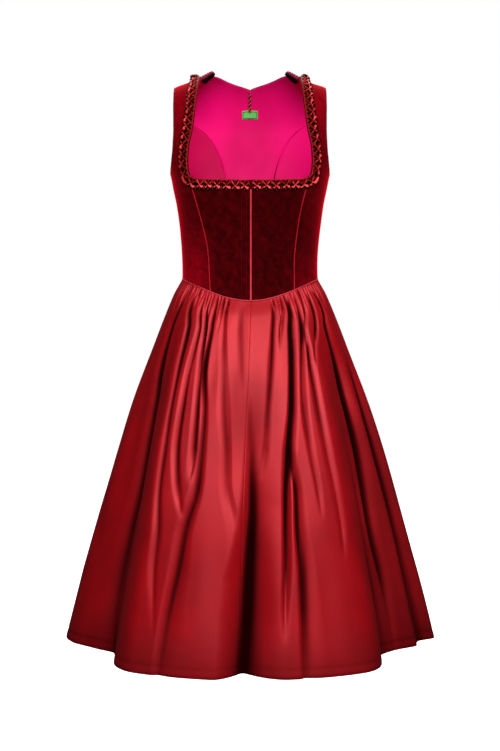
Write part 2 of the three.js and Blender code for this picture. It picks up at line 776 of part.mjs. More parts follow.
// Back panel, its lining, the back neck binding, the closure and the waist piping
function bodiceMiddle() {
  const group = new THREE.Group();
  const back = backCentrePlaces();
  group.add(bodiceWall('bodice_back_centre', finishes.velvet, back, 0, velvetThickness));
  group.add(bodiceWall('lining_back_centre', finishes.lining, back, velvetThickness + seamGap,
    liningThickness));
  const neck = back.at(-1).slice(shoulderColumns, -shoulderColumns);
  const neckEnd = bindingSize + 1;
  const neckRings = stripRings(shorten(neck, neckEnd, neckEnd), () => bindingSection(-1), false);
  group.add(tube('back_neck_binding', finishes.piping, neckRings, false));
  group.add(piping('piping_centre_front', shorten(closureCurve(1), pipingWidth + 1, 1)));
  const waistSteps = 56;
  const waist = Array.from({ length: waistSteps }, (_, step) => {
    const angle = (step / waistSteps) * Math.PI * 2;
    return { angle, climb: waistHeight(angle) + seamGap + pipingWidth / 2 };
  });
  group.add(tube('piping_waist', finishes.piping, stripRings(waist, pipingSection, true), true));
  group.add(labelPiece());
  group.add(hangerLoop());
  return group;
}

// A skirt panel between two seams, given as degrees at the waist and at the hem
function skirtPanel(name, right, left, columns) {
  const seam = (line, drop) => {
    const degrees = line.hem + (line.waist - line.hem) * (1 - drop) ** seamDrift;
    return THREE.MathUtils.degToRad(degrees);
  };
  const layer = (depth) => ringDrops.map((drop) => {
    const start = seam(right, drop);
    const end = seam(left, drop);
    const width = readTable(skirtRings, 'drop', 'front', drop);
    const inset = seamGap / 2 / width / (end - start);
    return Array.from({ length: columns + 1 }, (_, column) => {
      const share = inset + (1 - 2 * inset) * (column / columns);
      const angle = start + (end - start) * share;
      const point = skirtPoint(angle, drop);
      return point.addScaledVector(skirtNormal(angle, drop), -depth);
    });
  });
  return wall(name, finishes.satin, layer(0), layer(satinThickness));
}

function skirt() {
  const group = new THREE.Group();
  const frontMiddle = { waist: frontSeamWaist, hem: frontSeamHem };
  const leftSeam = { waist: sideSeamWaist, hem: sideSeamHem };
  const rightSeam = { waist: -sideSeamWaist, hem: -sideSeamHem };
  const rightFromBack = { waist: 360 - sideSeamWaist, hem: 360 - sideSeamHem };
  group.add(skirtPanel('skirt_front_right', rightSeam, frontMiddle, frontColumns));
  group.add(skirtPanel('skirt_front_left', frontMiddle, leftSeam, frontColumns));
  group.add(skirtPanel('skirt_back', leftSeam, rightFromBack, backColumns));
  return group;
}

const dirndl = new THREE.Group();
dirndl.add(bodiceSide(1));
dirndl.add(bodiceSide(-1));
dirndl.add(bodiceMiddle());
dirndl.add(skirt());

export default dirndl;
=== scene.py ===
"""A worn dirndl with no wearer: velvet bodice, ruched neck trim and gathered satin skirt.

Sizes are in millimetres, as a maker's tape gives them, and meshes are turned to metres when they
are made. +X is the wearer's left, -Y the front, +Z up, and the origin lies between the shoulders.
"""
import logging
import math
from dataclasses import dataclass, field
from enum import Enum
from typing import Callable, Optional, Sequence

import bpy
import numpy as np
from bpy.types import Material, Node, NodeTree, Object
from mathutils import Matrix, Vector


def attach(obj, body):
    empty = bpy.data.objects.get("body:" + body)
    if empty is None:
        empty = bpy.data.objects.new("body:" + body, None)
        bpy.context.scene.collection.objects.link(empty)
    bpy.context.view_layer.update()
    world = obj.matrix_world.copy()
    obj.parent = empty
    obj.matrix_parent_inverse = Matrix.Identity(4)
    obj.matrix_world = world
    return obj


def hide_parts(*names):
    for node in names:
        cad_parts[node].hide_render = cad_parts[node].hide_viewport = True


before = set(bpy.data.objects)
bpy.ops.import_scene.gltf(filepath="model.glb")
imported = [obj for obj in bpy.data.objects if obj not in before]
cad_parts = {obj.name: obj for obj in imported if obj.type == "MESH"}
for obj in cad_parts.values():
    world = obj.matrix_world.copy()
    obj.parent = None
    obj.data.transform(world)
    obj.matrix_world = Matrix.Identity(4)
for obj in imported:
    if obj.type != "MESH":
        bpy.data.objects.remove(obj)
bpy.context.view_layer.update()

LOG = logging.getLogger("dirndl")
MM = 0.001
BODY = "root"
Array = np.ndarray
Pair = tuple[float, float]
Triple = tuple[float, float, float]
Five = tuple[float, float, float, float, float]


class Slot(Enum):
    """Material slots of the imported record."""

    VELVET = "velvet"
    LINING = "lining"
    RUCHING = "ruching"
    PIPING = "piping"
    SATIN = "satin"
    LABEL = "label"
    CORD = "cord"


class Side(Enum):
    """The wearer's left and right, with the sign of X."""

    LEFT = 1
    RIGHT = -1

    @property
    def word(self) -> str:
        """The side's name inside piece names."""
        return self.name.lower()


# Numbers and curves
# ------------------


class Table:
    """Rows of named columns, read with a smooth curve between them."""

    def __init__(self, **columns: Sequence[float]) -> None:
        """Keeps the columns.

        Args:
            **columns: The first one is the key, in rising order.
        """
        names = list(columns)
        self.keys = np.array(columns[names[0]], float)
        self.columns = {name: np.array(columns[name], float) for name in names[1:]}

    def read(self, column: str, at: Array) -> Array:
        """Reads a column.

        Args:
            column: The column's name.
            at: Values of the key.

        Returns:
            The column's values there.
        """
        keys, values = self.keys, self.columns[column]
        last = len(keys) - 1
        at = np.clip(np.asarray(at, float), keys[0], keys[-1])
        low = np.searchsorted(keys[1:last], at, side="left")
        slopes = np.array([
            (values[min(last, row + 1)] - values[max(0, row - 1)])
            / (keys[min(last, row + 1)] - keys[max(0, row - 1)])
            for row in range(last + 1)
        ])
        span = keys[low + 1] - keys[low]
        s = (at - keys[low]) / span
        h = s * s * (3 - 2 * s)
        bend = span * s * (1 - s) * ((1 - s) * slopes[low] - s * slopes[low + 1])
        return values[low] * (1 - h) + values[low + 1] * h + bend


def smoothstep(value: Array, low: float, high: float) -> Array:
    """A soft step from 0 at low to 1 at high."""
    share = np.clip((np.asarray(value, float) - low) / (high - low), 0, 1)
    return share * share * (3 - 2 * share)


def bump(distance: Array, width: float) -> Array:
    """A soft hill of height 1 at distance 0, gone at a width."""
    share = np.clip(np.abs(distance) / width, 0, 1)
    return (1 + np.cos(np.pi * share)) / 2


def unit(vectors: Array) -> Array:
    """Vectors made one long."""
    return vectors / np.maximum(np.linalg.norm(vectors, axis=-1, keepdims=True), 1e-9)


def wave_noise(u: Array, v: Array, seed: int, waves: int = 7) -> Array:
    """A smooth uneven field between about -1 and 1.

    Args:
        u: First coordinate, one unit to a swell.
        v: Second coordinate, one unit to a swell.
        seed: Chooses the field.
        waves: How many waves are added.

    Returns:
        The field at each place.
    """
    random = np.random.default_rng(seed)
    total = np.zeros(np.broadcast(u, v).shape)
    for _ in range(waves):
        turn, phase = random.uniform(0, 2 * np.pi, 2)
        pace = random.uniform(0.6, 1.6) * 2 * np.pi
        total += np.sin(pace * (u * math.cos(turn) + v * math.sin(turn)) + phase)
    return total / math.sqrt(waves)


# Form of the bodice
# ------------------

SEAM_GAP = 0.3
SIDE_WAIST = -371.0
UNDERARM = -176.0
CLOSURE_X = 1.5
NECK_CORNER = -178.0
BACK_SEAM_TOP = -52.0
STRAP_INNER_X = 92.0
STRAP_OUTER_X = 141.0

RINGS = Table(
    climb=(-412, -379, -330, -280, -230, -205, -176, -150, -120, -95),
    half_width=(134, 129, 128.5, 132, 139, 144, 149.6, 158, 163, 164),
    front=(98, 96, 99, 108, 124, 131, 129, 122, 115, 111),
    back=(88, 86, 88, 92, 98, 101, 105, 107, 107, 106),
    square=(2.1, 2.1, 2.15, 2.2, 2.3, 2.3, 2.3, 2.3, 2.3, 2.3),
)
SHOULDER_LINE = Table(x=(0, 41, 70, 92, 112, 144, 170), z=(38, 26, 17, 7, -1.6, -12, -24))
FRONT_SEAM = Table(
    climb=(-412, -334, -302, -271, -241, -203, -178),
    right=(73, 76.5, 80, 87, 95, 106, 111),
    left=(83, 82, 84.5, 88.5, 93.5, 103, 111),
)
STRAP_EDGE = Table(
    climb=(-178, -168, -150, -122, -97, -71, -17, 62),
    x=(111, 113.4, 114.3, 112, 106.4, 102.5, 97, 92),
)
NECK_BOTTOM = Table(x=(0, 59, 92, 103, 111), climb=(-188.6, -187, -185.6, -183, -178))
ARMHOLE_EDGE = Table(
    climb=(-176, -166, -150, -130, -95, -30, 62),
    x=(149.6, 147.8, 145.4, 143, 141, 141.4, 141),
)
BACK_NECK = Table(x=(0, 41, 70, 92), climb=(-24, 2, 36, 62))
BACK_SEAM = Table(
    climb=(-412, -250, -180, -141, -112, -91, -75, -62, -52),
    x=(40, 41, 47, 57, 71, 88, 110, 128, 142),
)


@dataclass
class BodiceForm:
    """The outside of the bodice, a squared oval that arches over the shoulders.

    A place on it is an angle from the front towards the wearer's left, and a climb, the height
    measured along the cloth.
    """

    arch_base: float = -95.0
    arch_run: float = 157.0
    front_dip: float = 37.0
    dip_breadth: float = 0.63
    back_dip: float = 14.0

    @property
    def shoulder_seam(self) -> float:
        """The climb of the shoulder seam."""
        return self.arch_base + self.arch_run

    def point(self, places: Array) -> Array:
        """Points on the outside.

        Args:
            places: Angles and climbs in the last axis.

        Returns:
            Points in millimetres.
        """
        angle, climb = places[..., 0], places[..., 1]
        level = np.minimum(climb, self.arch_base)
        bend = np.maximum(0, climb - self.arch_base) / self.arch_run * (np.pi / 2)
        front = (np.cos(angle) > 0) != (bend > np.pi / 2)
        depth = np.where(front, RINGS.read("front", level), RINGS.read("back", level))
        square = RINGS.read("square", level)
        radius = (np.abs(np.sin(angle)) ** square + np.abs(np.cos(angle)) ** square)
        radius = radius ** (-1 / square)
        x = RINGS.read("half_width", level) * radius * np.sin(angle)
        y = -depth * radius * np.cos(angle) * np.cos(bend)
        top = SHOULDER_LINE.read("z", np.abs(x))
        arch = self.arch_base + (top - self.arch_base) * np.sin(bend)
        return np.stack([x, y, np.where(climb <= self.arch_base, climb, arch)], axis=-1)

    def slopes(self, places: Array) -> tuple[Array, Array]:
        """How a point moves with the angle and with the climb.

        Args:
            places: Angles and climbs.

        Returns:
            Millimetres to a radian, and to a millimetre of climb.
        """
        turn, rise = np.array([0.004, 0.0]), np.array([0.0, 0.4])
        per_angle = (self.point(places + turn) - self.point(places - turn)) / (2 * turn[0])
        per_climb = (self.point(places + rise) - self.point(places - rise)) / (2 * rise[1])
        return per_angle, per_climb

    def normal(self, places: Array) -> Array:
        """Directions out of the cloth."""
        per_angle, per_climb = self.slopes(places)
        return unit(np.cross(per_angle, per_climb))

    def angle_at(self, x: Array, climb: Array, on_back: bool = False) -> Array:
        """The angle at a distance from the middle.

        Args:
            x: Distance towards the wearer's left.
            climb: Climb of the place.
            on_back: Whether the place is on the back.

        Returns:
            The angle.
        """
        level = np.minimum(climb, self.arch_base)
        square = RINGS.read("square", level)
        share = np.minimum(1, np.abs(x) / RINGS.read("half_width", level))
        along = (1 - share ** square) ** (1 / square)
        angle = np.arctan2(share * np.where(np.asarray(x) < 0, -1, 1), along)
        return np.pi - angle if on_back else angle

    def waist(self, angle: Array) -> Array:
        """Height of the waist seam, which dips at the front.

        Args:
            angle: Angles from the front.

        Returns:
            Heights in millimetres.
        """
        share = (1 + np.cos(np.pi * np.sin(angle))) / 2
        front = self.front_dip * share ** self.dip_breadth
        return SIDE_WAIST - np.where(np.cos(angle) > 0, front, self.back_dip * share)

    def beside(self, places: Array, aside: Array, across: Array) -> Array:
        """Places a distance to the side of a path.

        Args:
            places: The path's places.
            aside: Directions across the path, in the cloth.
            across: Distances along them.

        Returns:
            The places there.
        """
        per_angle, per_climb = self.slopes(places)
        wanted = aside * np.asarray(across)[..., None]
        aa = np.sum(per_angle * per_angle, -1)
        ac = np.sum(per_angle * per_climb, -1)
        cc = np.sum(per_climb * per_climb, -1)
        ra = np.sum(wanted * per_angle, -1)
        rc = np.sum(wanted * per_climb, -1)
        solve = aa * cc - ac * ac
        step = np.stack([(ra * cc - rc * ac) / solve, (rc * aa - ra * ac) / solve], axis=-1)
        return places + step


FORM = BodiceForm()


def seam_rows(rows: int, low: float, high: float, angle_of: Callable[[Array], Array]) -> Array:
    """Places up a seam at even climbs."""
    climb = np.linspace(low, high, rows + 1)
    return np.stack([angle_of(climb), climb], axis=-1)


def waist_on(angle_of: Callable[[Array], Array]) -> float:
    """The climb at which a seam meets the waist, settled in a few steps.

    Args:
        angle_of: Gives the seam's angle at a climb.

    Returns:
        The climb.
    """
    climb = np.array([SIDE_WAIST])
    for _ in range(5):
        climb = FORM.waist(angle_of(climb)) + SEAM_GAP
    return float(climb[0])


def on_side(places: Array, side: Side) -> Array:
    """Places drawn on the wearer's left, moved to the side asked for."""
    return places if side is Side.LEFT else places * np.array([-1.0, 1.0])


def lengths_along(points: Array) -> Array:
    """Distance of each point along a path."""
    steps = np.linalg.norm(np.diff(points, axis=0), axis=1)
    return np.concatenate([[0.0], np.cumsum(steps)])


def resample(places: Array, count: int, start: float = 0.0, end: float = 0.0) -> Array:
    """A path of places divided evenly.

    Args:
        places: The path.
        count: Number of equal steps.
        start: Length left off at its start.
        end: Length left off at its end.

    Returns:
        count + 1 places.
    """
    length = lengths_along(FORM.point(places))
    at = np.linspace(start, length[-1] - end, count + 1)
    return np.stack([np.interp(at, length, places[:, k]) for k in (0, 1)], axis=-1)


def blend_places(inner: Array, outer: Array, share: Array) -> Array:
    """Places between two others."""
    return inner + (outer - inner) * np.asarray(share)[..., None]


def line_angle(table: Table, column: str, on_back: bool = False) -> Callable[[Array], Array]:
    """The angle of a line that a table gives, as a function of its climb."""
    return lambda climb: FORM.angle_at(table.read(column, climb), climb, on_back)


def upright(angle: float) -> Callable[[Array], Array]:
    """The angle of a line that runs straight up, as a function of its climb."""
    return lambda climb: np.full_like(climb, angle)


@dataclass
class BodicePattern:
    """The seam lines and panels of the bodice, as grids of places."""

    fine: int = 7
    drawn_rows: int = 400
    waist_rows: int = 8
    strap_rows: int = 8
    back_armhole_rows: int = 5
    shoulder_rows: int = 4
    crowd: float = 1.5
    centre_columns: int = 96
    side_columns: int = 48
    back_columns: int = 52
    seam_top_clear: float = 1.5
    armhole_top_clear: float = 4.0
    trim_start: float = 2.3
    trim_over: float = 9.0

    def front_seam(self, side: Side) -> Array:
        """The front princess seam from the waist to the neck corner."""
        angle_of = line_angle(FRONT_SEAM, side.word)
        return seam_rows(self.waist_rows * self.fine, waist_on(angle_of), NECK_CORNER, angle_of)

    def closure(self, side: Side) -> Array:
        """The edge at the centre front.

        Args:
            side: The wearer's side.

        Returns:
            Places from the bottom up.
        """

        def angle_of(climb: Array) -> Array:
            """The edge's angle at a climb."""
            return FORM.angle_at(np.full_like(climb, CLOSURE_X * side.value), climb)

        top = float(NECK_BOTTOM.columns["climb"][0])
        return seam_rows(self.waist_rows * self.fine, waist_on(angle_of), top, angle_of)

    def side_seam(self) -> Array:
        """The seam under the arm."""
        angle_of = upright(np.pi / 2)
        return seam_rows(self.waist_rows * self.fine, waist_on(angle_of), UNDERARM, angle_of)

    def strap(self) -> Array:
        """The neck edge of the strap up to the shoulder seam."""
        return seam_rows(self.strap_rows * self.fine, NECK_CORNER,
                         FORM.shoulder_seam - SEAM_GAP, line_angle(STRAP_EDGE, "x"))

    def armhole(self, rows: int, top: float, on_back: bool) -> Array:
        """The armhole edge from the underarm up.

        Args:
            rows: Number of steps.
            top: Climb at its top.
            on_back: Whether it is the back half.

        Returns:
            Places from the bottom up.
        """
        climb = UNDERARM + (top - UNDERARM) * np.linspace(0, 1, rows + 1) ** self.crowd
        angle = FORM.angle_at(ARMHOLE_EDGE.read("x", climb), climb, on_back)
        angle[0] = np.pi / 2
        return np.stack([angle, climb], axis=-1)

    def back_seam(self) -> Array:
        """The back princess seam from the waist to the armhole.

        Returns:
            Places from the bottom up.
        """
        angle_of = line_angle(BACK_SEAM, "x", on_back=True)
        top = BACK_SEAM_TOP - self.seam_top_clear
        curve = seam_rows(self.drawn_rows, waist_on(angle_of), top, angle_of)
        return resample(curve, (self.waist_rows + self.back_armhole_rows) * self.fine)

    def back_armhole_top(self) -> Array:
        """The armhole edge behind the shoulder, above the back princess seam.

        Returns:
            Places from the bottom up.
        """
        rows = self.shoulder_rows * self.fine
        share = np.linspace(0, 1, rows + 1)[1:]
        climb = BACK_SEAM_TOP + (FORM.shoulder_seam - SEAM_GAP - BACK_SEAM_TOP) * share
        angle = FORM.angle_at(ARMHOLE_EDGE.read("x", climb), climb, on_back=True)
        return np.stack([angle, climb], axis=-1)

    def back_neck(self, x: Array) -> Array:
        """Places on the back neckline at distances from the middle."""
        climb = np.minimum(BACK_NECK.read("climb", x), FORM.shoulder_seam - SEAM_GAP)
        return np.stack([FORM.angle_at(x, climb, on_back=True), climb], axis=-1)

    def panel(
        self,
        inner: Array,
        outer: Array,
        columns: int,
        top_edge: Optional[Callable[[Array], Array]] = None,
    ) -> Array:
        """A panel between two seams.

        Args:
            inner: Places up its inner seam.
            outer: Places up its outer seam.
            columns: Number of columns of cloth between them.
            top_edge: Gives the top row's places from shares across, if it isn't straight.

        Returns:
            A grid of places, rows from the waist up.
        """
        width = np.linalg.norm(FORM.point(inner) - FORM.point(outer), axis=-1)
        inset = np.minimum(0.1, SEAM_GAP / 2 / np.maximum(width, 1e-6))[:, None]
        share = inset + (1 - 2 * inset) * np.linspace(0, 1, columns + 1)[None, :]
        places = blend_places(inner[:, None, :], outer[:, None, :], share)
        foot = blend_places(inner[0], outer[0], share)
        lift = np.linspace(0, 1, len(inner))[:, None]
        places[..., 1] += (FORM.waist(foot[..., 0]) + SEAM_GAP - foot[..., 1]) * (1 - lift)
        if top_edge:
            straight = blend_places(inner[-1], outer[-1], share)
            places += (top_edge(share) - straight) * (lift ** 2)[..., None]
        return places

    def front_centre(self, side: Side) -> Array:
        """The panel beside the closure.

        Args:
            side: The wearer's side.

        Returns:
            A grid of places.
        """
        start = CLOSURE_X * side.value
        end = float(NECK_BOTTOM.keys[-1])

        def top_edge(share: Array) -> Array:
            """Places on the neckline.

            Args:
                share: Shares of the way across.

            Returns:
                The places.
            """
            x = start + (end - start) * share
            climb = NECK_BOTTOM.read("climb", np.abs(x))
            return np.stack([FORM.angle_at(x, climb), climb], axis=-1)

        return self.panel(self.closure(side), self.front_seam(side), self.centre_columns,
                          top_edge)

    def front_side(self, side: Side) -> Array:
        """The panel from the princess seam to the side, with the strap.

        Args:
            side: The wearer's side.

        Returns:
            A grid of places.
        """
        inner = np.concatenate([self.front_seam(side), self.strap()[1:]])
        armhole = self.armhole(self.strap_rows * self.fine, FORM.shoulder_seam - SEAM_GAP, False)
        return self.panel(inner, np.concatenate([self.side_seam(), armhole[1:]]),
                          self.side_columns)

    def back_side(self) -> Array:
        """The back panel under the arm.

        Returns:
            A grid of places.
        """
        top = BACK_SEAM_TOP - self.armhole_top_clear
        armhole = self.armhole(self.back_armhole_rows * self.fine, top, True)
        outer = np.concatenate([self.side_seam(), armhole[1:]])
        return self.panel(self.back_seam(), outer, self.side_columns)

    def back_centre(self) -> Array:
        """The back panel across both shoulders.

        Returns:
            A grid of places.
        """
        outer = np.concatenate([self.back_seam(), self.back_armhole_top()])
        neck_share = 4 / 7
        middle = upright(np.pi)
        inner = seam_rows(len(outer) - 1, waist_on(middle),
                          float(BACK_NECK.columns["climb"][0]), middle)

        def top_edge(share: Array) -> Array:
            """Places on the neckline.

            Args:
                share: Shares of the way across.

            Returns:
                The places.
            """
            neck = self.back_neck(STRAP_INNER_X * np.minimum(1, share / neck_share))
            past = np.maximum(0, share - neck_share) / (1 - neck_share)
            x = STRAP_INNER_X + (STRAP_OUTER_X - STRAP_INNER_X) * past
            climb = np.full_like(x, FORM.shoulder_seam - SEAM_GAP)
            seam = np.stack([FORM.angle_at(x, climb, on_back=True), climb], axis=-1)
            return np.where((share < neck_share)[..., None], neck, seam)

        left = self.panel(inner, outer, self.back_columns, top_edge)
        left[:, 0, 0] = np.pi
        right = left[:, :0:-1].copy()
        right[..., 0] = 2 * np.pi - right[..., 0]
        return np.concatenate([right, left], axis=1)

    def trim_path(self, side: Side, steps: int) -> Array:
        """The neck edge from the closure round the corner and over the shoulder.

        Args:
            side: The wearer's side.
            steps: Number of steps.

        Returns:
            Places along it.
        """
        start = CLOSURE_X * side.value + self.trim_start
        x = start + (float(NECK_BOTTOM.keys[-1]) - start) * np.linspace(0, 1, 60) ** 0.8
        climb = NECK_BOTTOM.read("climb", np.abs(x))
        bottom = np.stack([FORM.angle_at(x, climb), climb], axis=-1)
        rise = FORM.shoulder_seam + self.trim_over - NECK_CORNER
        climb = NECK_CORNER + rise * np.linspace(0, 1, 160)[1:]
        up = np.stack([FORM.angle_at(STRAP_EDGE.read("x", climb), climb), climb], axis=-1)
        return resample(np.concatenate([bottom, up]), steps)

    def armhole_loop(self) -> Array:
        """The whole armhole edge, round the arm.

        Returns:
            Places round it.
        """
        front = self.armhole(self.strap_rows * self.fine, FORM.shoulder_seam, False)
        back = self.armhole(self.back_armhole_rows * self.fine, BACK_SEAM_TOP, True)
        top = self.back_armhole_top()[:-1]
        return np.concatenate([front, top[::-1], back[1:][::-1]])


PATTERN = BodicePattern()


# Meshes
# ------


@dataclass
class Cloth:
    """Vertices, faces and face finishes of one piece, gathered before its mesh is made."""

    points: list[Array] = field(default_factory=list)
    faces: list[Array] = field(default_factory=list)
    marks: list[Array] = field(default_factory=list)
    maps: list[Array] = field(default_factory=list)
    shades: list[Array] = field(default_factory=list)
    count: int = 0

    def add(
        self,
        points: Array,
        faces: Array,
        mark: int = 0,
        flat_map: Optional[Array] = None,
        shade: Optional[Array] = None,
    ) -> None:
        """Adds a group of vertices and faces.

        Args:
            points: Points in millimetres.
            faces: Rows of four corner numbers, the last one repeated for a triangle.
            mark: Which of the piece's finishes they take.
            flat_map: Places on the flat cloth in millimetres.
            shade: A number per vertex that the finish may read.
        """
        points = points.reshape(-1, 3)
        self.points.append(points)
        self.faces.append(faces.reshape(-1, 4) + self.count)
        self.marks.append(np.full(len(faces.reshape(-1, 4)), mark))
        flat = np.zeros((len(points), 2)) if flat_map is None else flat_map.reshape(-1, 2)
        self.maps.append(flat)
        self.shades.append(np.ones(len(points)) if shade is None else shade.reshape(-1))
        self.count += len(points)

    def add_shell(
        self,
        outer: Array,
        inner: Array,
        flat_map: Optional[Array] = None,
        inner_mark: int = 0,
        shade: Optional[Array] = None,
    ) -> None:
        """Adds a closed thin wall between two grids of points, with a rounded rim.

        Args:
            outer: Outer grid, turned so that across x along points out.
            inner: Inner grid of the same size.
            flat_map: Places on the flat cloth.
            inner_mark: The finish of the inner face.
            shade: A number per place of the grid.
        """
        rows, columns = outer.shape[:2]
        index = np.arange(rows * columns).reshape(rows, columns)
        a, b = index[:-1, :-1], index[:-1, 1:]
        c, d = index[1:, 1:], index[1:, :-1]
        base = self.count
        self.add(outer, np.stack([a, b, c, d], -1), 0, flat_map, shade)
        self.add(inner, np.stack([a, d, c, b], -1), inner_mark, flat_map, shade)
        rim = np.concatenate([index[0, :-1], index[:-1, -1], index[-1, :0:-1], index[:0:-1, 0]])
        inward = np.concatenate([index[1, :-1], index[:-1, -2], index[-2, :0:-1],
                                 index[:0:-1, 1]])
        flat_outer, flat_inner = outer.reshape(-1, 3), inner.reshape(-1, 3)
        away = unit(flat_outer[rim] - flat_outer[inward])
        thickness = np.linalg.norm(flat_outer[rim] - flat_inner[rim], axis=1, keepdims=True)
        middle = (flat_outer[rim] + flat_inner[rim]) / 2 + away * thickness / 2
        count = len(rim)
        turn = np.roll(np.arange(count), -1)
        middle_base = self.count
        flat = None if flat_map is None else flat_map.reshape(-1, 2)[rim]
        edge_shade = None if shade is None else shade.reshape(-1)[rim]
        self.add(middle, np.zeros((0, 4), int), 0, flat, edge_shade)
        inner_base = base + rows * columns
        halfway = middle_base + np.arange(count)
        for near, far, mark in ((base + rim, halfway, 0),
                                (halfway, inner_base + rim, inner_mark)):
            self.faces.append(np.stack([near, far, far[turn], near[turn]], -1))
            self.marks.append(np.full(count, mark))

    def add_tube(
        self,
        rings: Array,
        loop: bool = False,
        mark: int = 0,
        shade: Optional[Array] = None,
    ) -> None:
        """Adds a tube through rings of points, closed at its ends or joined into a loop.

        Args:
            rings: Rings along the tube, each with the same number of points.
            loop: Whether the last ring joins the first.
            mark: The finish it takes.
            shade: A number per point.
        """
        count, sides = rings.shape[:2]
        index = np.arange(count * sides).reshape(count, sides)
        if loop:
            index = np.concatenate([index, index[:1]])
        a, d = index[:-1], index[1:]
        b, c = np.roll(a, -1, axis=1), np.roll(d, -1, axis=1)
        faces = [np.stack([a, b, c, d], -1).reshape(-1, 4)]
        if not loop:
            for ring, way in ((index[0], -1), (index[-1], 1)):
                fan = ring[::way]
                for k in range(1, sides - 1, 2):
                    corners = [fan[0], fan[k], fan[k + 1], fan[min(k + 2, sides - 1)]]
                    faces.append(np.array([corners]))
        self.add(rings, np.concatenate(faces), mark, None, shade)


def put_in_scene(name: str, data: bpy.types.ID) -> Object:
    """Makes an object and links it to the scene.

    Args:
        name: The object's name.
        data: Its mesh, light or camera.

    Returns:
        The object.
    """
    thing = bpy.data.objects.new(name, data)
    bpy.context.scene.collection.objects.link(thing)
    return thing


def make_piece(name: str, cloth: Cloth, finishes: Sequence[Material],
               slot: Slot, nodes: Sequence[str] = ()) -> Object:
    """Makes a piece from gathered cloth and puts it on the dress.

    Args:
        name: The piece's name.
        cloth: Its vertices and faces.
        finishes: Its materials, in the order of the face marks.
        slot: The record's material slot; not used.
        nodes: Construction nodes that it stands for.

    Returns:
        The piece.
    """
    points = np.concatenate(cloth.points) * MM
    faces = [
        tuple(row[:3]) if row[3] == row[2] else tuple(row)
        for row in np.concatenate(cloth.faces).astype(int).tolist()
    ]
    mesh = bpy.data.meshes.new(name)
    mesh.from_pydata(points.tolist(), [], faces)
    mesh.polygons.foreach_set("use_smooth", np.ones(len(faces), bool))
    marks = np.concatenate(cloth.marks).astype(np.int32)
    mesh.polygons.foreach_set("material_index", marks)
    flat = np.concatenate(cloth.maps) * MM
    corners = np.zeros(len(mesh.loops), np.int32)
    mesh.loops.foreach_get("vertex_index", corners)
    layer = mesh.uv_layers.new(name="cut")
    layer.data.foreach_set("uv", flat[corners].astype(np.float32).ravel())
    shade = mesh.attributes.new("shade", "FLOAT", "POINT")
    shade.data.foreach_set("value", np.concatenate(cloth.shades).astype(np.float32))
    for finish in finishes:
        mesh.materials.append(finish)
    mesh.validate(clean_customdata=False)
    mesh.update()
    piece = put_in_scene(name, mesh)
    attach(piece, BODY)
    if nodes:
        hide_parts(*nodes)
    LOG.info("%s: %d vertices, %d faces", name, len(points), len(faces))
    return piece


def row_lengths(points: Array) -> Array:
    """Distance of each point of a grid along its row."""
    steps = np.linalg.norm(np.diff(points, axis=1), axis=-1)
    return np.concatenate([np.zeros((len(points), 1)), np.cumsum(steps, axis=1)], axis=1)


def grid_map(points: Array) -> Array:
    """Places on the flat cloth for a grid of points, measured along its rows and columns."""
    u, v = row_lengths(points), row_lengths(points.swapaxes(0, 1)).T
    return np.stack([u - u[:, -1:] / 2, v], axis=-1)


def grid_normals(points: Array) -> Array:
    """Normals of a grid of points, across x along."""
    return unit(np.cross(np.gradient(points, axis=1), np.gradient(points, axis=0)))


@dataclass(frozen=True)
class Frames:
    """Places along a path on the bodice, with the directions across it and out of the cloth."""

    places: Array
    aside: Array
    out: Array
    length: Array


def path_frames(places: Array, loop: bool = False) -> Frames:
    """Works out the directions along a path on the bodice.

    Args:
        places: The path.
        loop: Whether it closes on itself.

    Returns:
        Its frames.
    """
    points = FORM.point(places)
    if loop:
        heading = np.roll(points, -1, axis=0) - np.roll(points, 1, axis=0)
    else:
        heading = np.gradient(points, axis=0)
    out = FORM.normal(places)
    return Frames(places, unit(np.cross(out, unit(heading))), out, lengths_along(points))


def strip_points(frames: Frames, across: Array, out: Array) -> Array:
    """Points beside a path on the bodice.

    Args:
        frames: The path.
        across: Distances across, one column for each point of the section.
        out: Distances out of the cloth, of the same shape.

    Returns:
        A grid with a row for each place on the path.
    """
    shape = np.broadcast(across, out).shape
    places = np.repeat(frames.places[:, None, :], shape[1], axis=1)
    aside = np.repeat(frames.aside[:, None, :], shape[1], axis=1)
    near = FORM.beside(places, aside, np.broadcast_to(across, shape))
    return FORM.point(near) + FORM.normal(near) * np.broadcast_to(out, shape)[..., None]


def round_section(radius_across: float, radius_out: float, sides: int) -> tuple[Array, Array]:
    """A round section as distances across and out from its middle."""
    turn = np.arange(sides) / sides * 2 * np.pi
    return radius_across * np.cos(turn), radius_out * np.sin(turn)


# Finishes
# --------


def linear(code: str) -> tuple[float, float, float, float]:
    """A colour's linear values from its sRGB hex code.

    Args:
        code: The hex code.

    Returns:
        Red, green, blue and alpha.
    """

    def channel(value: float) -> float:
        """One channel's linear value."""
        return value / 12.92 if value <= 0.04045 else ((value + 0.055) / 1.055) ** 2.4

    red, green, blue = (channel(int(code[i:i + 2], 16) / 255) for i in (1, 3, 5))
    return red, green, blue, 1.0


def add_node(
    tree: NodeTree,
    kind: str,
    values: Optional[dict] = None,
    links: Optional[dict] = None,
    **settings: object,
) -> Node:
    """Adds a node.

    Args:
        tree: The node tree.
        kind: The node's type.
        values: Numbers and colours for its own sockets.
        links: Outputs that feed its sockets.
        **settings: Its other settings.

    Returns:
        The node.
    """
    node = tree.nodes.new(kind)
    for name, value in settings.items():
        setattr(node, name, value)
    for socket, value in (values or {}).items():
        node.inputs[socket].default_value = value
    for socket, output in (links or {}).items():
        tree.links.new(output, node.inputs[socket])
    return node


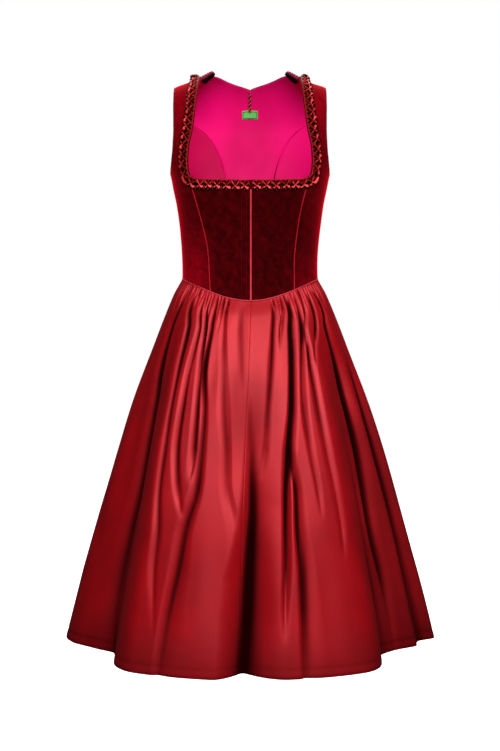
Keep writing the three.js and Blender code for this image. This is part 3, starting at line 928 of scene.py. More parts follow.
def new_material(name: str) -> tuple[Material, NodeTree]:
    """An empty material and its node tree.

    Args:
        name: The material's name.

    Returns:
        Both.
    """
    material = bpy.data.materials.new(name)
    material.use_nodes = True
    material.node_tree.nodes.clear()
    return material, material.node_tree


def close_material(tree: NodeTree, shader: Node) -> None:
    """Feeds a shader to the material's output."""
    add_node(tree, "ShaderNodeOutputMaterial", links={"Surface": shader.outputs[0]})


@dataclass(frozen=True)
class CottonVelvet:
    """Cotton velvet, woven with a cut pile. The pile stands up and swallows light that falls
    straight on it, so cloth that faces the eye is nearly black, and cloth that turns away shows
    the tips of the fibres as a bright red bloom. A painted sheen adds a lighter red there too."""

    deep: str = "#1e0001"
    ground: str = "#3a0003"
    # Painted sheen: a lighter red painted on where the pile would catch grazing light, read from
    # the shade attribute.
    painted_sheen_red: str = "#980214"
    bloom: str = "#ff1a30"
    # The tufts of the pile are about 0.3 mm wide, drawn coarser so that they show.
    nap_grain: float = 2.6
    brush_mark: float = 9.0
    roughness: float = 0.9
    ior: float = 1.45

    def build(self) -> Material:
        """Makes the material.

        Returns:
            The material.
        """
        material, tree = new_material("cotton_velvet")
        place = add_node(tree, "ShaderNodeTexCoord")
        grain = add_node(
            tree, "ShaderNodeTexNoise",
            values={"Scale": 1 / (self.nap_grain * MM), "Detail": 3.0, "Roughness": 0.7},
            links={"Vector": place.outputs["Object"]})
        tips = add_node(
            tree, "ShaderNodeMapRange",
            values={"From Min": 0.3, "From Max": 0.7}, links={"Value": grain.outputs["Fac"]})
        brush = add_node(
            tree, "ShaderNodeTexNoise",
            values={"Scale": 1 / (self.brush_mark * MM), "Detail": 4.0, "Roughness": 0.55},
            links={"Vector": place.outputs["Object"]})
        both = add_node(
            tree, "ShaderNodeMath",
            values={1: 0.45}, links={0: tips.outputs[0], 2: brush.outputs["Fac"]},
            operation="MULTIPLY_ADD")
        share = add_node(
            tree, "ShaderNodeMapRange",
            values={"From Min": 0.45, "From Max": 1.0}, links={"Value": both.outputs[0]})
        colour = add_node(
            tree, "ShaderNodeMixRGB",
            values={"Color1": linear(self.deep), "Color2": linear(self.ground)},
            links={"Fac": share.outputs[0]})
        # The shade attribute here carries painted sheen: it mixes the lighter red into the
        # colour.
        turned = add_node(tree, "ShaderNodeAttribute", attribute_name="shade")
        lift = add_node(
            tree, "ShaderNodeMath",
            links={0: turned.outputs["Fac"], 1: both.outputs[0]}, operation="MULTIPLY")
        colour = add_node(
            tree, "ShaderNodeMixRGB", values={"Color2": linear(self.painted_sheen_red)},
            links={"Fac": lift.outputs[0], "Color1": colour.outputs[0]})
        relief = add_node(
            tree, "ShaderNodeBump", values={"Strength": 0.35, "Distance": 0.5 * MM},
            links={"Height": grain.outputs["Fac"]})
        shader = add_node(
            tree, "ShaderNodeBsdfPrincipled",
            values={"Roughness": self.roughness, "IOR": self.ior, "Specular IOR Level": 0.02,
                    "Sheen Weight": 1.0, "Sheen Roughness": 0.36,
                    "Sheen Tint": linear(self.bloom)},
            links={"Base Color": colour.outputs[0], "Normal": relief.outputs[0]})
        close_material(tree, shader)
        return material


@dataclass(frozen=True)
class WovenSatin:
    """Duchess satin, polyester, woven with long floats. The floats lie side by side and mirror
    the light in broad soft bands of a lighter red, and in the deep folds a painted shade darkens
    the colour and the reflection fast to a deep red."""

    name: str = "duchess_satin"
    colour: str = "#8e060e"
    shade: str = "#74040a"
    gloss: str = "#ff6c74"
    # Painted shade in the deep folds: there the reflection's tint turns to this dark red, and the
    # colour is multiplied down to the lowest share below.
    unlit: str = "#200002"
    roughness: float = 0.43
    ior: float = 1.7
    specular: float = 0.52
    # The floats are about 0.2 mm wide, drawn coarser so that they show.
    float_width: float = 0.9
    float_squeeze: float = 0.12
    clouds_per_metre: float = 9.0
    anisotropy: float = 0.35
    painted_hollow_shade: float = 0.03
    hollow_roughness: float = 0.95

    def build(self) -> Material:
        """Makes the material.

        Returns:
            The material.
        """
        material, tree = new_material(self.name)
        cut = add_node(tree, "ShaderNodeUVMap", uv_map="cut")
        stretch = add_node(
            tree, "ShaderNodeMapping",
            values={"Scale": (1.0, self.float_squeeze, 1.0)}, links={"Vector": cut.outputs["UV"]})
        floats = add_node(
            tree, "ShaderNodeTexNoise",
            values={"Scale": 1 / (self.float_width * MM), "Detail": 2.0},
            links={"Vector": stretch.outputs[0]})
        cloud = add_node(
            tree, "ShaderNodeTexNoise", values={"Scale": self.clouds_per_metre, "Detail": 3.0},
            links={"Vector": cut.outputs["UV"]})
        mix = add_node(
            tree, "ShaderNodeMath",
            values={1: 0.35}, links={0: floats.outputs["Fac"], 2: cloud.outputs["Fac"]},
            operation="MULTIPLY_ADD")
        share = add_node(
            tree, "ShaderNodeMapRange",
            values={"From Min": 0.45, "From Max": 0.9}, links={"Value": mix.outputs[0]})
        colour = add_node(
            tree, "ShaderNodeMixRGB",
            values={"Color1": linear(self.shade), "Color2": linear(self.colour)},
            links={"Fac": share.outputs[0]})
        # Painted shade: the shade attribute darkens the colour and the reflection's tint in the
        # deep folds, and makes them rougher.
        painted_shade_share = add_node(tree, "ShaderNodeAttribute", attribute_name="shade")
        painted_hollow_shade = add_node(
            tree, "ShaderNodeMapRange",
            values={"From Min": 0.0, "From Max": 1.0, "To Min": self.painted_hollow_shade, "To Max": 1.0},
            links={"Value": painted_shade_share.outputs["Fac"]})
        colour = add_node(
            tree, "ShaderNodeMixRGB",
            values={"Fac": 1.0}, links={"Color1": colour.outputs[0], "Color2": painted_hollow_shade.outputs[0]},
            blend_type="MULTIPLY")
        dull = add_node(
            tree, "ShaderNodeMapRange",
            values={"From Min": 0.0, "From Max": 1.0, "To Min": self.hollow_roughness,
                    "To Max": self.roughness},
            links={"Value": painted_shade_share.outputs["Fac"]})
        fold_shaded_gloss = add_node(
            tree, "ShaderNodeMixRGB",
            values={"Color1": linear(self.unlit), "Color2": linear(self.gloss)},
            links={"Fac": painted_shade_share.outputs["Fac"]})
        relief = add_node(
            tree, "ShaderNodeBump", values={"Strength": 0.3, "Distance": 0.15 * MM},
            links={"Height": floats.outputs["Fac"]})
        along = add_node(tree, "ShaderNodeTangent", direction_type="UV_MAP", uv_map="cut")
        shader = add_node(
            tree, "ShaderNodeBsdfPrincipled",
            values={"IOR": self.ior, "Specular IOR Level": self.specular,
                    "Anisotropic": self.anisotropy},
            links={"Base Color": colour.outputs[0], "Roughness": dull.outputs[0],
                   "Specular Tint": fold_shaded_gloss.outputs[0], "Normal": relief.outputs[0],
                   "Tangent": along.outputs[0]})
        close_material(tree, shader)
        return material


@dataclass(frozen=True)
class PlainLining:
    """Viscose lining, plain woven and pressed smooth. It gives the eye a flat, vivid pink with
    only a soft gleam."""

    name: str = "viscose_lining"
    colour: str = "#c4065a"
    shade: str = "#b4054e"
    # Painted light: this brighter pink is mixed in where the shade attribute asks, at the
    # lining's upper outer corners.
    lit: str = "#e80a70"
    # The threads are about 0.2 mm apart, drawn coarser so that they show.
    thread: float = 0.8
    clouds_per_metre: float = 14.0
    roughness: float = 0.55
    ior: float = 1.5

    def build(self) -> Material:
        """Makes the material.

        Returns:
            The material.
        """
        material, tree = new_material(self.name)
        cut = add_node(tree, "ShaderNodeUVMap", uv_map="cut")
        weave = add_node(
            tree, "ShaderNodeTexNoise", values={"Scale": 1 / (self.thread * MM), "Detail": 1.0},
            links={"Vector": cut.outputs["UV"]})
        cloud = add_node(
            tree, "ShaderNodeTexNoise", values={"Scale": self.clouds_per_metre, "Detail": 2.0},
            links={"Vector": cut.outputs["UV"]})
        both = add_node(
            tree, "ShaderNodeMath",
            values={1: 0.3}, links={0: weave.outputs["Fac"], 2: cloud.outputs["Fac"]},
            operation="MULTIPLY_ADD")
        share = add_node(
            tree, "ShaderNodeMapRange",
            values={"From Min": 0.45, "From Max": 0.85}, links={"Value": both.outputs[0]})
        colour = add_node(
            tree, "ShaderNodeMixRGB",
            values={"Color1": linear(self.shade), "Color2": linear(self.colour)},
            links={"Fac": share.outputs[0]})
        # The shade attribute here is painted light, a brighter pink.
        pressed = add_node(tree, "ShaderNodeAttribute", attribute_name="shade")
        colour = add_node(
            tree, "ShaderNodeMixRGB", values={"Color2": linear(self.lit)},
            links={"Fac": pressed.outputs["Fac"], "Color1": colour.outputs[0]})
        relief = add_node(
            tree, "ShaderNodeBump", values={"Strength": 0.1, "Distance": 0.1 * MM},
            links={"Height": weave.outputs["Fac"]})
        shader = add_node(
            tree, "ShaderNodeBsdfPrincipled",
            values={"Roughness": self.roughness, "IOR": self.ior, "Specular IOR Level": 0.05},
            links={"Base Color": colour.outputs[0], "Normal": relief.outputs[0]})
        close_material(tree, shader)
        return material


@dataclass(frozen=True)
class RuchedRibbon:
    """Satin ribbon, box pleated and pinched by hand. Its folded edges are painted a bright red as
    a painted highlight, and the mouths between them, deep as they are, are painted black as
    shade."""

    name: str = "ruched_ribbon"
    # Painted shade and highlight: the height share picks black for the mouths and a bright red
    # for the folded edges.
    painted_mouth_shade: str = "#020000"
    fold: str = "#7c100e"
    edge: str = "#fb4c50"
    gloss: str = "#ff6a6c"
    roughness: float = 0.45
    ior: float = 1.54

    def build(self) -> Material:
        """Makes the material.

        Returns:
            The material.
        """
        material, tree = new_material(self.name)
        height = add_node(tree, "ShaderNodeAttribute", attribute_name="shade")
        low = add_node(
            tree, "ShaderNodeMapRange",
            values={"From Min": 0.2, "From Max": 0.58}, links={"Value": height.outputs["Fac"]})
        high = add_node(
            tree, "ShaderNodeMapRange",
            values={"From Min": 0.58, "From Max": 0.95}, links={"Value": height.outputs["Fac"]})
        dark = add_node(
            tree, "ShaderNodeMixRGB",
            values={"Color1": linear(self.painted_mouth_shade), "Color2": linear(self.fold)},
            links={"Fac": low.outputs[0]})
        colour = add_node(
            tree, "ShaderNodeMixRGB", values={"Color2": linear(self.edge)},
            links={"Fac": high.outputs[0], "Color1": dark.outputs[0]})
        shader = add_node(
            tree, "ShaderNodeBsdfPrincipled",
            values={"Roughness": self.roughness, "IOR": self.ior, "Specular IOR Level": 0.12,
                    "Specular Tint": linear(self.gloss)},
            links={"Base Color": colour.outputs[0]})
        close_material(tree, shader)
        return material


@dataclass(frozen=True)
class PlainThread:
    """Spun or twisted thread, and small pieces of cloth that show no weave at this size: an
    even colour, a soft gleam and a fine grain."""

    name: str
    colour: str
    shade: str
    roughness: float = 0.5
    # Fibres are finer than 0.1 mm, so their grain is drawn coarser to show.
    grain: float = 0.7
    ior: float = 1.5

    def build(self) -> Material:
        """Makes the material.

        Returns:
            The material.
        """
        material, tree = new_material(self.name)
        place = add_node(tree, "ShaderNodeTexCoord")
        grain = add_node(
            tree, "ShaderNodeTexNoise", values={"Scale": 1 / (self.grain * MM), "Detail": 2.0},
            links={"Vector": place.outputs["Object"]})
        colour = add_node(
            tree, "ShaderNodeMixRGB",
            values={"Color1": linear(self.shade), "Color2": linear(self.colour)},
            links={"Fac": grain.outputs["Fac"]})
        relief = add_node(
            tree, "ShaderNodeBump", values={"Strength": 0.2, "Distance": 0.1 * MM},
            links={"Height": grain.outputs["Fac"]})
        shader = add_node(
            tree, "ShaderNodeBsdfPrincipled",
            values={"Roughness": self.roughness, "IOR": self.ior, "Specular IOR Level": 0.12},
            links={"Base Color": colour.outputs[0], "Normal": relief.outputs[0]})
        close_material(tree, shader)
        return material


@dataclass(frozen=True)
class StudioFloor:
    """Matt white paint on a studio floor. It stays pale and takes only a faint shadow."""

    colour: str = "#f4f4f4"
    glow: float = 1.0

    def build(self) -> Material:
        """Makes the material.

        Returns:
            The material.
        """
        material, tree = new_material("studio_floor")
        shader = add_node(
            tree, "ShaderNodeBsdfPrincipled",
            values={"Base Color": linear(self.colour), "Roughness": 0.9,
                    "Emission Color": linear("#ffffff"), "Emission Strength": self.glow})
        close_material(tree, shader)
        return material


class Wardrobe:
    """Every finish of the dress, made once."""

    def __init__(self) -> None:
        """Makes the materials."""
        self.velvet = CottonVelvet().build()
        self.satin = WovenSatin().build()
        self.satin_back = WovenSatin(name="satin_back", colour="#6c0610", shade="#540409",
                                     roughness=0.7, specular=0.2, anisotropy=0.0).build()
        self.lining = PlainLining().build()
        # A darker copy of the lining, a painted shade for the wearer's right side panel.
        self.shaded_lining = PlainLining("viscose_lining_painted_shade", "#b00246", "#9c023c",
                                         "#b80448").build()
        self.ruching = RuchedRibbon().build()
        self.tab = RuchedRibbon(name="folded_tab", painted_mouth_shade="#030001", fold="#5c0824",
                                edge="#9c0c40").build()
        self.piping = PlainThread("satin_piping", "#a80c1e", "#7c0614", 0.5).build()
        self.seam = PlainThread("edge_binding", "#5c0408", "#3c0205", 0.6).build()
        self.waist = PlainThread("waist_piping", "#c83c48", "#8c1c28", 0.5, 2.4).build()
        self.closure = PlainThread("closure_piping", "#c03440", "#982430", 0.5).build()
        self.edge = PlainThread("neck_roll", "#94291f", "#54120c", 0.7).build()
        self.thread = PlainThread("sewing_thread", "#700814", "#58060e", 0.6).build()
        self.label = PlainThread("woven_label", "#5cac58", "#489848", 0.8, 0.5).build()
        self.label_edge = PlainThread("label_border", "#1c6c28", "#14541c", 0.8, 0.5).build()
        self.cord = PlainThread("twisted_cord", "#b0502c", "#8c3418", 0.7, 1.6).build()
        self.dark_cord = PlainThread("dark_cord", "#3c0a0a", "#240404", 0.7, 1.6).build()


@dataclass
class Assembly:
    """A part of the dress, made with the finishes of its wardrobe."""

    wardrobe: Wardrobe


# Bodice
# ------


@dataclass
class Bodice(Assembly):
    """Seven velvet panels with piped seams, lined in pink."""

    velvet: float = 1.6
    lining: float = 0.9
    seam_sink: float = 1.3
    seam_reach: float = 3.5
    placket_lines: Pair = (-15.5, -5.5)
    placket_sink: float = 0.8
    placket_reach: float = 2.2
    placket_rise: float = 0.35
    waver: float = 0.5
    # Width, length and area of each cut, in metres.
    front_centre_cut: Triple = (0.125, 0.240, 0.0210)
    front_side_cut: Triple = (0.115, 0.480, 0.0335)
    back_side_cut: Triple = (0.155, 0.330, 0.038)
    back_centre_cut: Triple = (0.31, 0.47, 0.066)
    side_lining_cut: Triple = (0.152, 0.325, 0.037)
    centre_lining_cut: Triple = (0.305, 0.465, 0.064)

    def sunk(self, places: Array, edges: tuple[bool, bool]) -> Array:
        """How far the cloth lies under its form, from seams and small unevenness.

        Args:
            places: The panel's places.
            edges: Whether the first and the last column are sewn seams.

        Returns:
            Distances in millimetres.
        """
        points = FORM.point(places)
        run = row_lengths(points)
        sink = self.waver * wave_noise(points[..., 0] / 90, points[..., 2] / 120, 5)
        if edges[0]:
            sink = sink + self.seam_sink * bump(run, self.seam_reach)
        if edges[1]:
            sink = sink + self.seam_sink * bump(run[:, -1:] - run, self.seam_reach)
        return sink

    def painted_sheen_share(self, points: Array) -> Array:
        """Painted sheen on the velvet, from 0 to 1: how much lighter red is painted on at points
        of it, more towards the sides, higher up and low at the outer sides, most on the wearer's
        right, with a little random unevenness.

        Args:
            points: Points of the velvet.

        Returns:
            A share at each point.
        """
        aside, height = np.abs(points[..., 0]), points[..., 2]
        share = smoothstep(aside, 80, 155) * 0.27 + smoothstep(height, -170, -20) * 0.4
        right = points[..., 0] < 0
        low = smoothstep(-height, 290 - 60 * right, 380) * smoothstep(aside, 55, 110)
        share = share + low * (0.26 + 0.52 * right) + 0.04 * right
        share = share + 0.05 * wave_noise(points[..., 0] / 22, points[..., 2] / 26, 23)
        return np.clip(share, 0, 1)

    def panel(self, name: str, places: Array, edges: tuple[bool, bool], cut: Triple,
              lined: bool, extra: float | Array = 0.0) -> None:
        """One velvet panel.

        Args:
            name: Its construction node.
            places: Its grid of places.
            edges: Whether its first and last columns are seams.
            cut: Width, length and area of its cut, in metres; not used.
            lined: Whether its inner face shows the lining.
            extra: More distance under the form.
        """
        normal = FORM.normal(places)
        sink = np.maximum(self.sunk(places, edges) + extra, -0.4)[..., None]
        outer = FORM.point(places) - normal * sink
        inner = FORM.point(places) - normal * (np.maximum(sink, 0) + self.velvet)
        cloth = Cloth()
        if places[0, 0, 0] > places[0, -1, 0]:
            outer, inner = outer[:, ::-1], inner[:, ::-1]
        # The shell's shade numbers are the velvet's painted sheen.
        cloth.add_shell(outer, inner, grid_map(outer), 1, self.painted_sheen_share(outer))
        inside = self.wardrobe.lining if lined else self.wardrobe.velvet
        piece = make_piece(name + "_cloth", cloth, [self.wardrobe.velvet, inside], Slot.VELVET,
                           [name])

    def front_centre(self, side: Side) -> None:
        """The panel beside the closure, with the lines of the placket behind it.

        Args:
            side: The wearer's side.
        """
        places = on_side(PATTERN.front_centre(side), side)
        x = FORM.point(places)[..., 0]
        grooves = sum(self.placket_sink * bump(x - line, self.placket_reach)
                      for line in self.placket_lines)
        right, left = self.placket_lines
        between = smoothstep(x, right, right + 2) * (1 - smoothstep(x, left - 2, left))
        self.panel(f"bodice_front_centre_{side.word}", places, (False, True),
                   self.front_centre_cut, True, grooves - self.placket_rise * between)

    def front_side(self, side: Side) -> None:
        """The panel from the princess seam to the side seam, with the strap."""
        places = on_side(PATTERN.front_side(side), side)
        self.panel(f"bodice_front_side_{side.word}", places, (True, True),
                   self.front_side_cut, True)

    def back_side(self, side: Side) -> None:
        """The back panel under the arm, and its lining.

        Args:
            side: The wearer's side.
        """
        places = on_side(PATTERN.back_side(), side)
        self.panel(f"bodice_back_side_{side.word}", places, (True, True),
                   self.back_side_cut, False)
        self.lining_panel(f"lining_back_side_{side.word}", places,
                          self.side_lining_cut)

    def back_centre(self) -> None:
        """The back panel across the shoulders, and its lining."""
        places = PATTERN.back_centre()
        self.panel("bodice_back_centre", places, (True, True),
                   self.back_centre_cut, False)
        self.lining_panel("lining_back_centre", places, self.centre_lining_cut)

    def lining_panel(self, name: str, places: Array,
                     cut: Triple) -> None:
        """A lining panel inside its velvet one.

        Args:
            name: Its construction node.
            places: Its grid of places.
            cut: Width, length and area of its cut, in metres; not used.
        """
        points = FORM.point(places)
        run = row_lengths(points)
        edge = np.minimum(run, run[:, -1:] - run)
        puff = 0.5 * smoothstep(edge, 0, 5) + 0.4 * bump(edge - 5.5, 4)
        puff = puff + 0.35 * wave_noise(points[..., 0] / 70, points[..., 2] / 90, 11)
        near = self.velvet + SEAM_GAP + 0.3
        normal = FORM.normal(places)
        outer = points - normal * (near + np.maximum(puff, 0))[..., None]
        inner = points - normal * (near + self.lining + np.maximum(puff, 0))[..., None]
        cloth = Cloth()
        if places[0, 0, 0] > places[0, -1, 0]:
            outer, inner = outer[:, ::-1], inner[:, ::-1]
        # Painted light: the lining is painted brighter towards its upper outer corners.
        gleam = smoothstep(np.abs(outer[..., 0]), 15, 75) * smoothstep(outer[..., 2], -190, -80)
        cloth.add_shell(outer, inner, grid_map(outer), 0, 0.7 * gleam)
        finish = self.wardrobe.lining
        # Painted shade: the wearer's right side panel takes the darker copy of the lining.
        if name.endswith("side_right"):
            finish = self.wardrobe.shaded_lining
        piece = make_piece(name + "_cloth", cloth, [finish], Slot.LINING, [name])

    def build(self) -> None:
        """Makes all the panels."""
        for side in Side:
            self.front_centre(side)
            self.front_side(side)
            self.back_side(side)
        self.back_centre()


@dataclass
class Pipings(Assembly):
    """Satin piping in the seams, at the closure and round the edges. A size is a width and a
    height. At the front it ends under the trim."""

    seam_size: Pair = (2.2, 1.7)
    edge_size: Pair = (2.0, 2.2)
    waist_size: Pair = (2.2, 2.4)
    closure_size: Pair = (3.3, 2.2)
    edge_offset: float = 0.4
    above_seam: float = 0.4
    trim_width: float = 16.8
    tucked: float = 3.0
    seam_steps: int = 120
    back_seam_steps: int = 160
    closure_steps: int = 140
    waist_steps: int = 360
    neck_steps: int = 160
    sides: int = 12

    def along(self, name: str, node: str, places: Array, size: Pair,
              finish: Material, loop: bool = False, sunk: float = 1.1,
              offset: float = 0.0) -> None:
        """Piping that follows a path on the bodice.

        Args:
            name: The piece's name.
            node: The construction node it stands for.
            places: The path.
            size: Its width and height.
            finish: Its material.
            loop: Whether it closes on itself.
            sunk: How far its foot lies under the form.
            offset: Distance of its middle to the side of the path.
        """
        frames = path_frames(places, loop)
        across, out = round_section(size[0] / 2, size[1] / 2, self.sides)
        length = frames.length[:, None]
        swell = 1 + 0.06 * np.sin(length / 5.1) + 0.05 * np.sin(length / 2.3 + 1)
        rings = strip_points(frames, offset + across[None, :] * swell,
                             size[1] / 2 - sunk + out[None, :] * swell)
        cloth = Cloth()
        cloth.add_tube(rings[:, ::-1], loop)
        make_piece(name, cloth, [finish], Slot.PIPING, [node])

    def build(self) -> None:
        """Makes every piping."""
        for side in Side:
            front = on_side(PATTERN.front_seam(side), side)
            self.along(f"front_piping_{side.word}", f"piping_front_{side.word}",
                       resample(front, self.seam_steps, 0, self.trim_width - self.tucked),
                       self.seam_size, self.wardrobe.piping)
            back = on_side(PATTERN.back_seam(), side)
            self.along(f"back_piping_{side.word}", f"piping_back_{side.word}",
                       resample(back, self.back_seam_steps), self.seam_size, self.wardrobe.piping)
            self.along(f"armhole_edge_{side.word}", f"armhole_piping_{side.word}",
                       on_side(PATTERN.armhole_loop(), side), self.edge_size, self.wardrobe.seam,
                       loop=True, sunk=2.1, offset=-side.value * self.edge_offset)
        closure = resample(PATTERN.closure(Side.LEFT), self.closure_steps, 0.0, self.trim_width)
        self.along("closure_piping", "piping_centre_front", closure, self.closure_size,
                   self.wardrobe.closure, sunk=1.0)
        angle = np.arange(self.waist_steps) / self.waist_steps * 2 * np.pi
        waist = np.stack([angle, FORM.waist(angle) + SEAM_GAP + self.above_seam], axis=-1)
        self.along("waist_piping", "piping_waist", waist, self.waist_size, self.wardrobe.waist,
                   loop=True, sunk=1.5)
        half = STRAP_INNER_X - 1
        x = np.linspace(-half, half, self.neck_steps + 1)
        neck = PATTERN.back_neck(np.abs(x))
        neck[:, 0] = np.where(x < 0, 2 * np.pi - neck[:, 0], neck[:, 0])
        self.along("back_neck_edge", "back_neck_binding", neck, self.edge_size,
                   self.wardrobe.seam, sunk=2.0, offset=1.0)


@dataclass
class Stitches(Assembly):
    """Rows of small thread stitches on the bodice."""

    length: float = 2.6
    pitch: float = 4.2
    width: float = 0.55

    def rows(self, name: str, paths: Sequence[Array], finish: Material,
             out: float, uneven: float) -> None:
        """Stitches along paths on the bodice.

        Args:
            name: The piece's name.
            paths: Paths of places.
            finish: The thread's material.
            out: Height of the thread over the form.
            uneven: How far a stitch may stray.
        """
        random = np.random.default_rng(31)
        cloth = Cloth()
        across, over = round_section(self.width / 2, self.width / 2, 6)
        for path in paths:
            total = lengths_along(FORM.point(path))[-1]
            for start in np.arange(3.0, total - self.pitch, self.pitch):
                stray = random.uniform(-uneven, uneven, 2)
                piece = resample(path, 4, start + stray[0], total - start - self.length)
                frames = path_frames(piece)
                arch = np.array([-0.5, 0.1, 0.25, 0.1, -0.5])[:, None]
                rings = strip_points(frames, stray[1] + across[None, :], out + arch
                                     + over[None, :])
                cloth.add_tube(rings[:, ::-1])
        make_piece(name, cloth, [finish], Slot.VELVET)

    def build(self) -> None:
        """Makes the rows beside the closure."""
        paths = []
        for line in (-15.5, -5.8, 7.5):
            climb = np.linspace(-404, -206, 80)
            paths.append(np.stack([FORM.angle_at(np.full_like(climb, line), climb), climb], -1))
        self.rows("placket_stitches", paths, self.wardrobe.thread, -0.35, 0.5)


# Neck trim, label and loop
# -------------------------


@dataclass
class NeckTrim(Assembly):
    """Ruched ribbon round the neck: box pleats pinched together in pairs, so that each unit is
    a cross of folded edges with dark mouths. A petal is a folded edge: its turn in degrees, where
    it starts, its length, half its width and its height. Between two units lie tongues: their
    place along the trim, where they start and end across it, half their width and their height.
    """

    pitch: float = 17.0
    width_front: float = 19.5
    width_strap: float = 22.0
    height: float = 5.0
    samples: int = 26
    columns: int = 30
    corner: float = 112.0
    mitre_reach: float = 7.0
    roll_size: Pair = (0.6, 0.8)
    roll_steps: int = 420
    petals: tuple[Five, ...] = (
        (-27, 0.0, 1.0, 0.33, 0.95), (-148, 0.0, 0.85, 0.17, 0.86), (42, 0.0, 1.1, 0.13, 0.78),
        (138, 0.0, 1.1, 0.13, 0.78), (90, 0.26, 0.5, 0.2, 0.42), (-92, 0.42, 0.5, 0.12, 0.55))
    between: tuple[Five, ...] = (
        (1.0, 0.25, 1.0, 0.24, 0.5), (1.0, -1.0, -0.3, 0.24, 0.55),
        (0.52, -1.0, -0.8, 0.13, 0.45))

    def relief(self, u: Array, v: Array, random: np.random.Generator) -> Array:
        """Height of one unit as a share of the trim's height.

        Args:
            u: Place along the unit, from -1 to 1.
            v: Place across it, from -1 at the velvet to 1 at the neck.
            random: Source of small unevenness.

        Returns:
            Shares from 0 in the mouths to 1 on the folded edges.
        """
        middle = random.uniform(-0.08, 0.08, 2) + (0.0, -0.06)
        body = np.full(np.broadcast_shapes(u.shape, v.shape), 0.03)
        for turn, start, length, width, level in self.petals:
            turn = math.radians(turn + random.uniform(-7, 7))
            length, level = length * random.uniform(0.85, 1.12), level * random.uniform(0.8, 1.08)
            du, dv = u - middle[0], v - middle[1]
            along = (du * math.cos(turn) + dv * math.sin(turn) - start) / length
            aside = np.abs(dv * math.cos(turn) - du * math.sin(turn))
            inside = np.clip(along, 0, 1)
            edge = width * (0.12 + inside * (1 - smoothstep(inside, 0.8, 1.0))) + 0.025
            body = np.maximum(body, level * (1 - smoothstep(aside / edge, 0.55, 1.15))
                              * bump(np.abs(along - inside), 0.18))
        for place, low, high, width, level in self.between:
            height = np.clip((v - low) / (high - low), 0, 1)
            aside = np.abs(np.abs(u) - place)
            body = np.maximum(body, level * random.uniform(0.8, 1.1)
                              * (1 - smoothstep(aside / (width * (1.1 - height)), 0.6, 1.1))
                              * (v > low) * (v < high))
        roof = 0.5 * smoothstep(v, 0.62, 0.8) * (1 - 0.8 * bump(np.abs(u) - 0.45, 0.24))
        return np.clip(np.maximum(body, roof), 0.03, 1)

    def mitre(self, run: Array) -> Array:
        """How far the trim's beginning is rounded off, from 1 at its very end to 0."""
        return 1 - np.sqrt(1 - (1 - np.clip(run / self.mitre_reach, 0, 1)) ** 2)[:, None]

    def strip(self, side: Side) -> None:
        """The trim of one side.

        Args:
            side: The wearer's side.
        """
        random = np.random.default_rng(17 + side.value)
        path = PATTERN.trim_path(side, 2000)
        total = lengths_along(FORM.point(path))[-1]
        units = max(1, round(total / self.pitch))
        steps = units * self.samples
        frames = path_frames(on_side(resample(path, steps), side))
        along = np.linspace(0, units, steps + 1)
        number = np.minimum(along.astype(int), units - 1)
        u = ((along - number) * 2 - 1)[:, None]
        v = np.linspace(-1, 1, self.columns + 1)[None, :]
        share = np.zeros((steps + 1, self.columns + 1))
        for one in range(units):
            rows = number == one
            share[rows] = self.relief(side.value * u[rows], v, random)
        run = frames.length
        strap = smoothstep(run, self.corner - 8, self.corner + 25)
        width = (self.width_front + (self.width_strap - self.width_front) * strap)[:, None]
        scallop = 1 - 0.09 * np.abs(u) ** 3 + 0.04 * np.cos(2 * np.pi * (u + 0.3))
        corner = self.mitre(run)
        turned = smoothstep(run, run[-1] - 12, run[-1] + 4)[:, None]
        across = (width * (1 - v) / 2 * scallop * (1 - 0.35 * corner) * (1 - 0.5 * turned)
                  + 0.6 + 4.5 * corner)
        gather = smoothstep(run, run[-1] - 32, run[-1] - 6)[:, None]
        rim = 1 - 0.6 * smoothstep(np.abs(v), 0.86, 1.0)
        # Painted shade and highlight: the height share picks the painted colours, and it is
        # painted darker on the straps and where the trim gathers at the shoulder.
        shade = share * (1 - 0.15 * strap[:, None] - 0.4 * gather)
        heap = 6.0 * gather * (1 - v ** 6) * (1 - 0.4 * turned)
        out = 0.7 + self.height * (1 + 0.3 * gather) * share * rim + heap
        across = -side.value * across
        outer = strip_points(frames, across, out)
        inner = strip_points(frames, across, np.full_like(out, 0.35))
        if side is Side.LEFT:
            outer, inner, shade = outer[:, ::-1], inner[:, ::-1], shade[:, ::-1]
        cloth = Cloth()
        cloth.add_shell(outer, inner, grid_map(outer), 0, shade)
        piece = make_piece(f"ruched_trim_{side.word}", cloth, [self.wardrobe.ruching],
                           Slot.RUCHING, [f"neck_trim_{side.word}"])

    def roll(self, side: Side) -> None:
        """The rolled edge on the neck side of the trim.

        Args:
            side: The wearer's side.
        """
        frames = path_frames(on_side(PATTERN.trim_path(side, self.roll_steps), side))
        across, out = round_section(*self.roll_size, 12)
        beat = 1 + 0.3 * np.sin(frames.length / self.pitch * 6 * np.pi)[:, None]
        corner = self.mitre(frames.length)
        rings = strip_points(frames, side.value * (-0.4 - 4.5 * corner + across[None, :] * beat),
                             1.5 + out[None, :] * beat)
        cloth = Cloth()
        cloth.add_tube(rings if side is Side.RIGHT else rings[:, ::-1])
        make_piece(f"neck_roll_{side.word}", cloth, [self.wardrobe.edge], Slot.RUCHING)

    def build(self) -> None:
        """Makes the trim and its rolled edge on both sides."""
        for side in Side:
            self.strip(side)
            self.roll(side)


